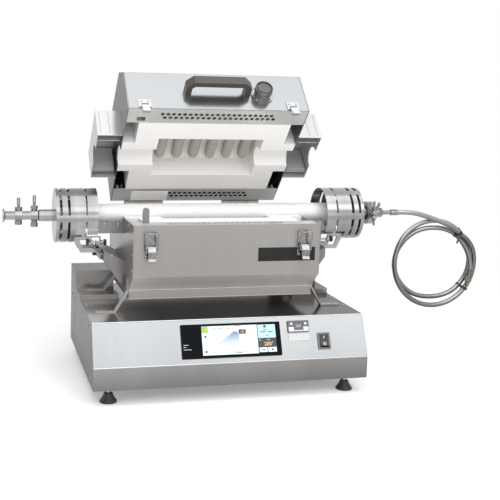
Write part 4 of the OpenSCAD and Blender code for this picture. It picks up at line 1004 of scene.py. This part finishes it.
vent_x, vent_z, vent_end = 104, lid_low + 46, body_front - 26
bm = bmesh.new()
turned(bm, [(0, -0.4), (15.6, -0.4), (15.6, 0), (0, 0.1)], (vent_x, vent_end + 1.7, vent_z), (0, -1, 0), 40)
piece("vent_gauze", bm, vent_dark.look, "lid", turn=lid_open)
knurls, knurl_r = 48, 19.9
bm = bmesh.new()
for k in range(knurls):
    a = tau * k / knurls
    spot = Vector((vent_x + knurl_r * cos(a), vent_end + 7, vent_z + knurl_r * sin(a)))
    bmesh.ops.create_cube(bm, size=1, matrix=Matrix.Translation(spot) @ Matrix.Rotation(-a, 4, "Y")
                          @ Matrix.Diagonal((1.3, 9, 1.3, 1)))
piece("vent_knurl", bm, vent_steel.look, "lid", 20, turn=lid_open)
ring_dark = Finish("vent_ring", (0.035, 0.032, 0.03), (0.28, 0.45, 300), 0.4)
bm = bmesh.new()
turned(bm, [(15.9, -0.2), (19.2, -0.2), (19.2, 0.5), (18.6, 0.9), (16.6, 0.9), (15.9, 0.4), (15.9, -0.2)],
       (vent_x, vent_end, vent_z), (0, -1, 0), 48)
piece("vent_ring", bm, ring_dark.look, "lid", turn=lid_open)
# Screws on the lid's front: round the vent, above it, and in the two keepers of the latches
latch_x, lid_forward = 171, opened_way(0, -1, 0)
lid_spots = [(opened(vent_x + dx, body_front - 3, vent_z + dz), lid_forward) for dx, dz in
             ((-16.5, -16.5), (16.5, -16.5), (16.5, 16.5), (-16.5, 16.5))]
lid_spots += [(opened(vent_x - 20, body_front, vent_z + 26), lid_forward)]
lid_spots += [(opened(s * latch_x + dx, body_front - 2.5, 383), lid_forward)
              for s in (-1, 1) for dx in (-8, 8)]
fastened("lid_front_screws", lid_spots, zinc, "lid", 2.1)
lid_end_spots = [(opened(s * body_half, y, z), (s, 0, 0)) for s in (-1, 1) for y, z in
                 ((-158, 380), (-158, 425), (-158, 466), (-128, 500), (-60, 512), (60, 512), (128, 500),
                  (158, 466), (158, 380), (-100, 374), (100, 374))]
fastened("lid_end_screws", lid_end_spots, bright, "lid", 2.3)
# Roller catches in the lid's front corners, ribs inside its pockets and folded stops in its rear corners
bm = bmesh.new()
for s in (-1, 1):
    x = s * 193
    turned(bm, [(0, -9), (6.2, -9), (7, -8), (7, 8), (6.2, 9), (0, 9)], (x, -150, 378), (1, 0, 0), 24)
    bars(bm, [((x - 13, -158, 376), (x - 11, -142, 392)), ((x + 11, -158, 376), (x + 13, -142, 392)),
              ((x - 13, -158, 390), (x + 13, -142, 392))], round_by=0.4)
    x = s * 238
    for y in (-52, 52, 58):
        bars(bm, [((x - 25, y - 1, 370), (x + 25, y + 1, 436))], round_by=0.4)
    bars(bm, [((s * 196 - 2.5, 123, 369), (s * 196 + 2.5, 165, 380)),
              ((s * 186 - 1, 123, 372), (s * 186 + 1, 165, 384))], round_by=0.4)
piece("lid_corner_rollers", bm, pocket_steel.look, "lid", turn=lid_open)
# A thin pad of the same fibre on the rear rim of the lid, over the left end of its holes
bm = bmesh.new()
bars(bm, [((-161, 130, lid_low - 0.7), (-70, 166, lid_low + 0.1))], round_by=0.2)
piece("lid_fibre_pad", bm, fibre.look, "lid", turn=lid_open)
# Dark upright seams in the fronts of the pockets, where their sheets meet
bm = bmesh.new()
for s in (-1, 1):
    bars(bm, [((s * x - 0.3, -76.2, 371), (s * x + 0.3, -75.9, 437)) for x in (237.5, 258)])
piece("pocket_seams", bm, seam_black.look, "lid", turn=lid_open)


# Latches
# Two draw latches of bright pressed steel: a plate riveted to the body, a lever, a wire bail and a
# keeper on the lid. A tongue between them works the switch that cuts the power when the lid opens.

pressed = Finish("pressed_chrome", (0.3, 0.3, 0.3), 0.16, 1.0, 0.0005)
pressed.between(pressed.noise(pressed.stretched(160, 160, 160), 3, 0.6), (0.1, 0.1, 0.1), (0.42, 0.42, 0.42),
                "Base Color")
for side in ("left", "right"):
    finish(pressed, f"latch_plate_{side}", f"latch_lever_{side}", f"latch_bail_{side}")
finish(bright, "lid_keepers")
rivets = [((s * latch_x + dx, body_front - 4, z), (0, -1, 0)) for s in (-1, 1) for dx in (-11, 11)
          for z in (299, 342)]
fastened("latch_rivets", rivets, zinc, "root", 1.7)
finish(tray_steel, "interlock_tongue")


# Hinges
# Two butt hinges of rolled steel leaves, each pair on a plain pin behind the parting line. One leaf
# of each is fixed to the back of the body and the other to the back of the lid.

finish(pocket_steel, "hinge_leaves", "lid_hinge_leaves", "hinge_pins")


# Work tube and its ends
# A glazed white ceramic tube. A polished flange with a slotted guard drum closes each end; the left
# one carries a pipe with two barbed connections, the right one a clamped joint to the hose.

tube_white = Finish("tube_glaze", (0.75, 0.74, 0.725), (0.2, 0.34, 40, 3), Coat_Weight=0.15,
                    Coat_Roughness=0.25)
tube_white.between(tube_white.noise(tube_white.stretched(10, 40, 40), 3), (0.71, 0.7, 0.685),
                   (0.77, 0.762, 0.75), "Base Color")
finish(tube_white, "work_tube")
polished = Finish("polished_steel", (0.3, 0.3, 0.3), 0.2, 0.92)
lathe_marks = polished.noise(polished.stretched(900, 8, 8))
slow_marks = polished.noise(polished.stretched(60, 6, 6), 3)
polished.between(lathe_marks, 0.14, 0.3, "Roughness")
polish = polished.between(slow_marks, (0.21, 0.208, 0.206), (0.38, 0.38, 0.38))
# Painted light and shade: the right drum is brighter above and darker below than the left one, as the
# photograph lights them
to_right = polished.place.part(0)
to_top = polished.facing.part(2)
polished.set("Base Color", polished.scaled(polish, to_right * to_top * 0.9 + 1))
finish(polished, "guard_left", "guard_right", "flange_left", "flange_right", "gas_pipe")
clamp_grey = Finish("cast_clamp", (0.3, 0.295, 0.29), 0.32, 0.95, 0.0008)
cast = clamp_grey.noise(clamp_grey.stretched(220, 220, 220), 4)
clamp_grey.between(cast, 0.25, 0.45, "Roughness")
clamp_grey.between(cast, (0.3, 0.293, 0.286), (0.42, 0.413, 0.405), "Base Color")
finish(clamp_grey, "clamp_ring")
finish(pressed, "gas_fittings", "clamp_bolt", "wing_nut", "hose_adapter")
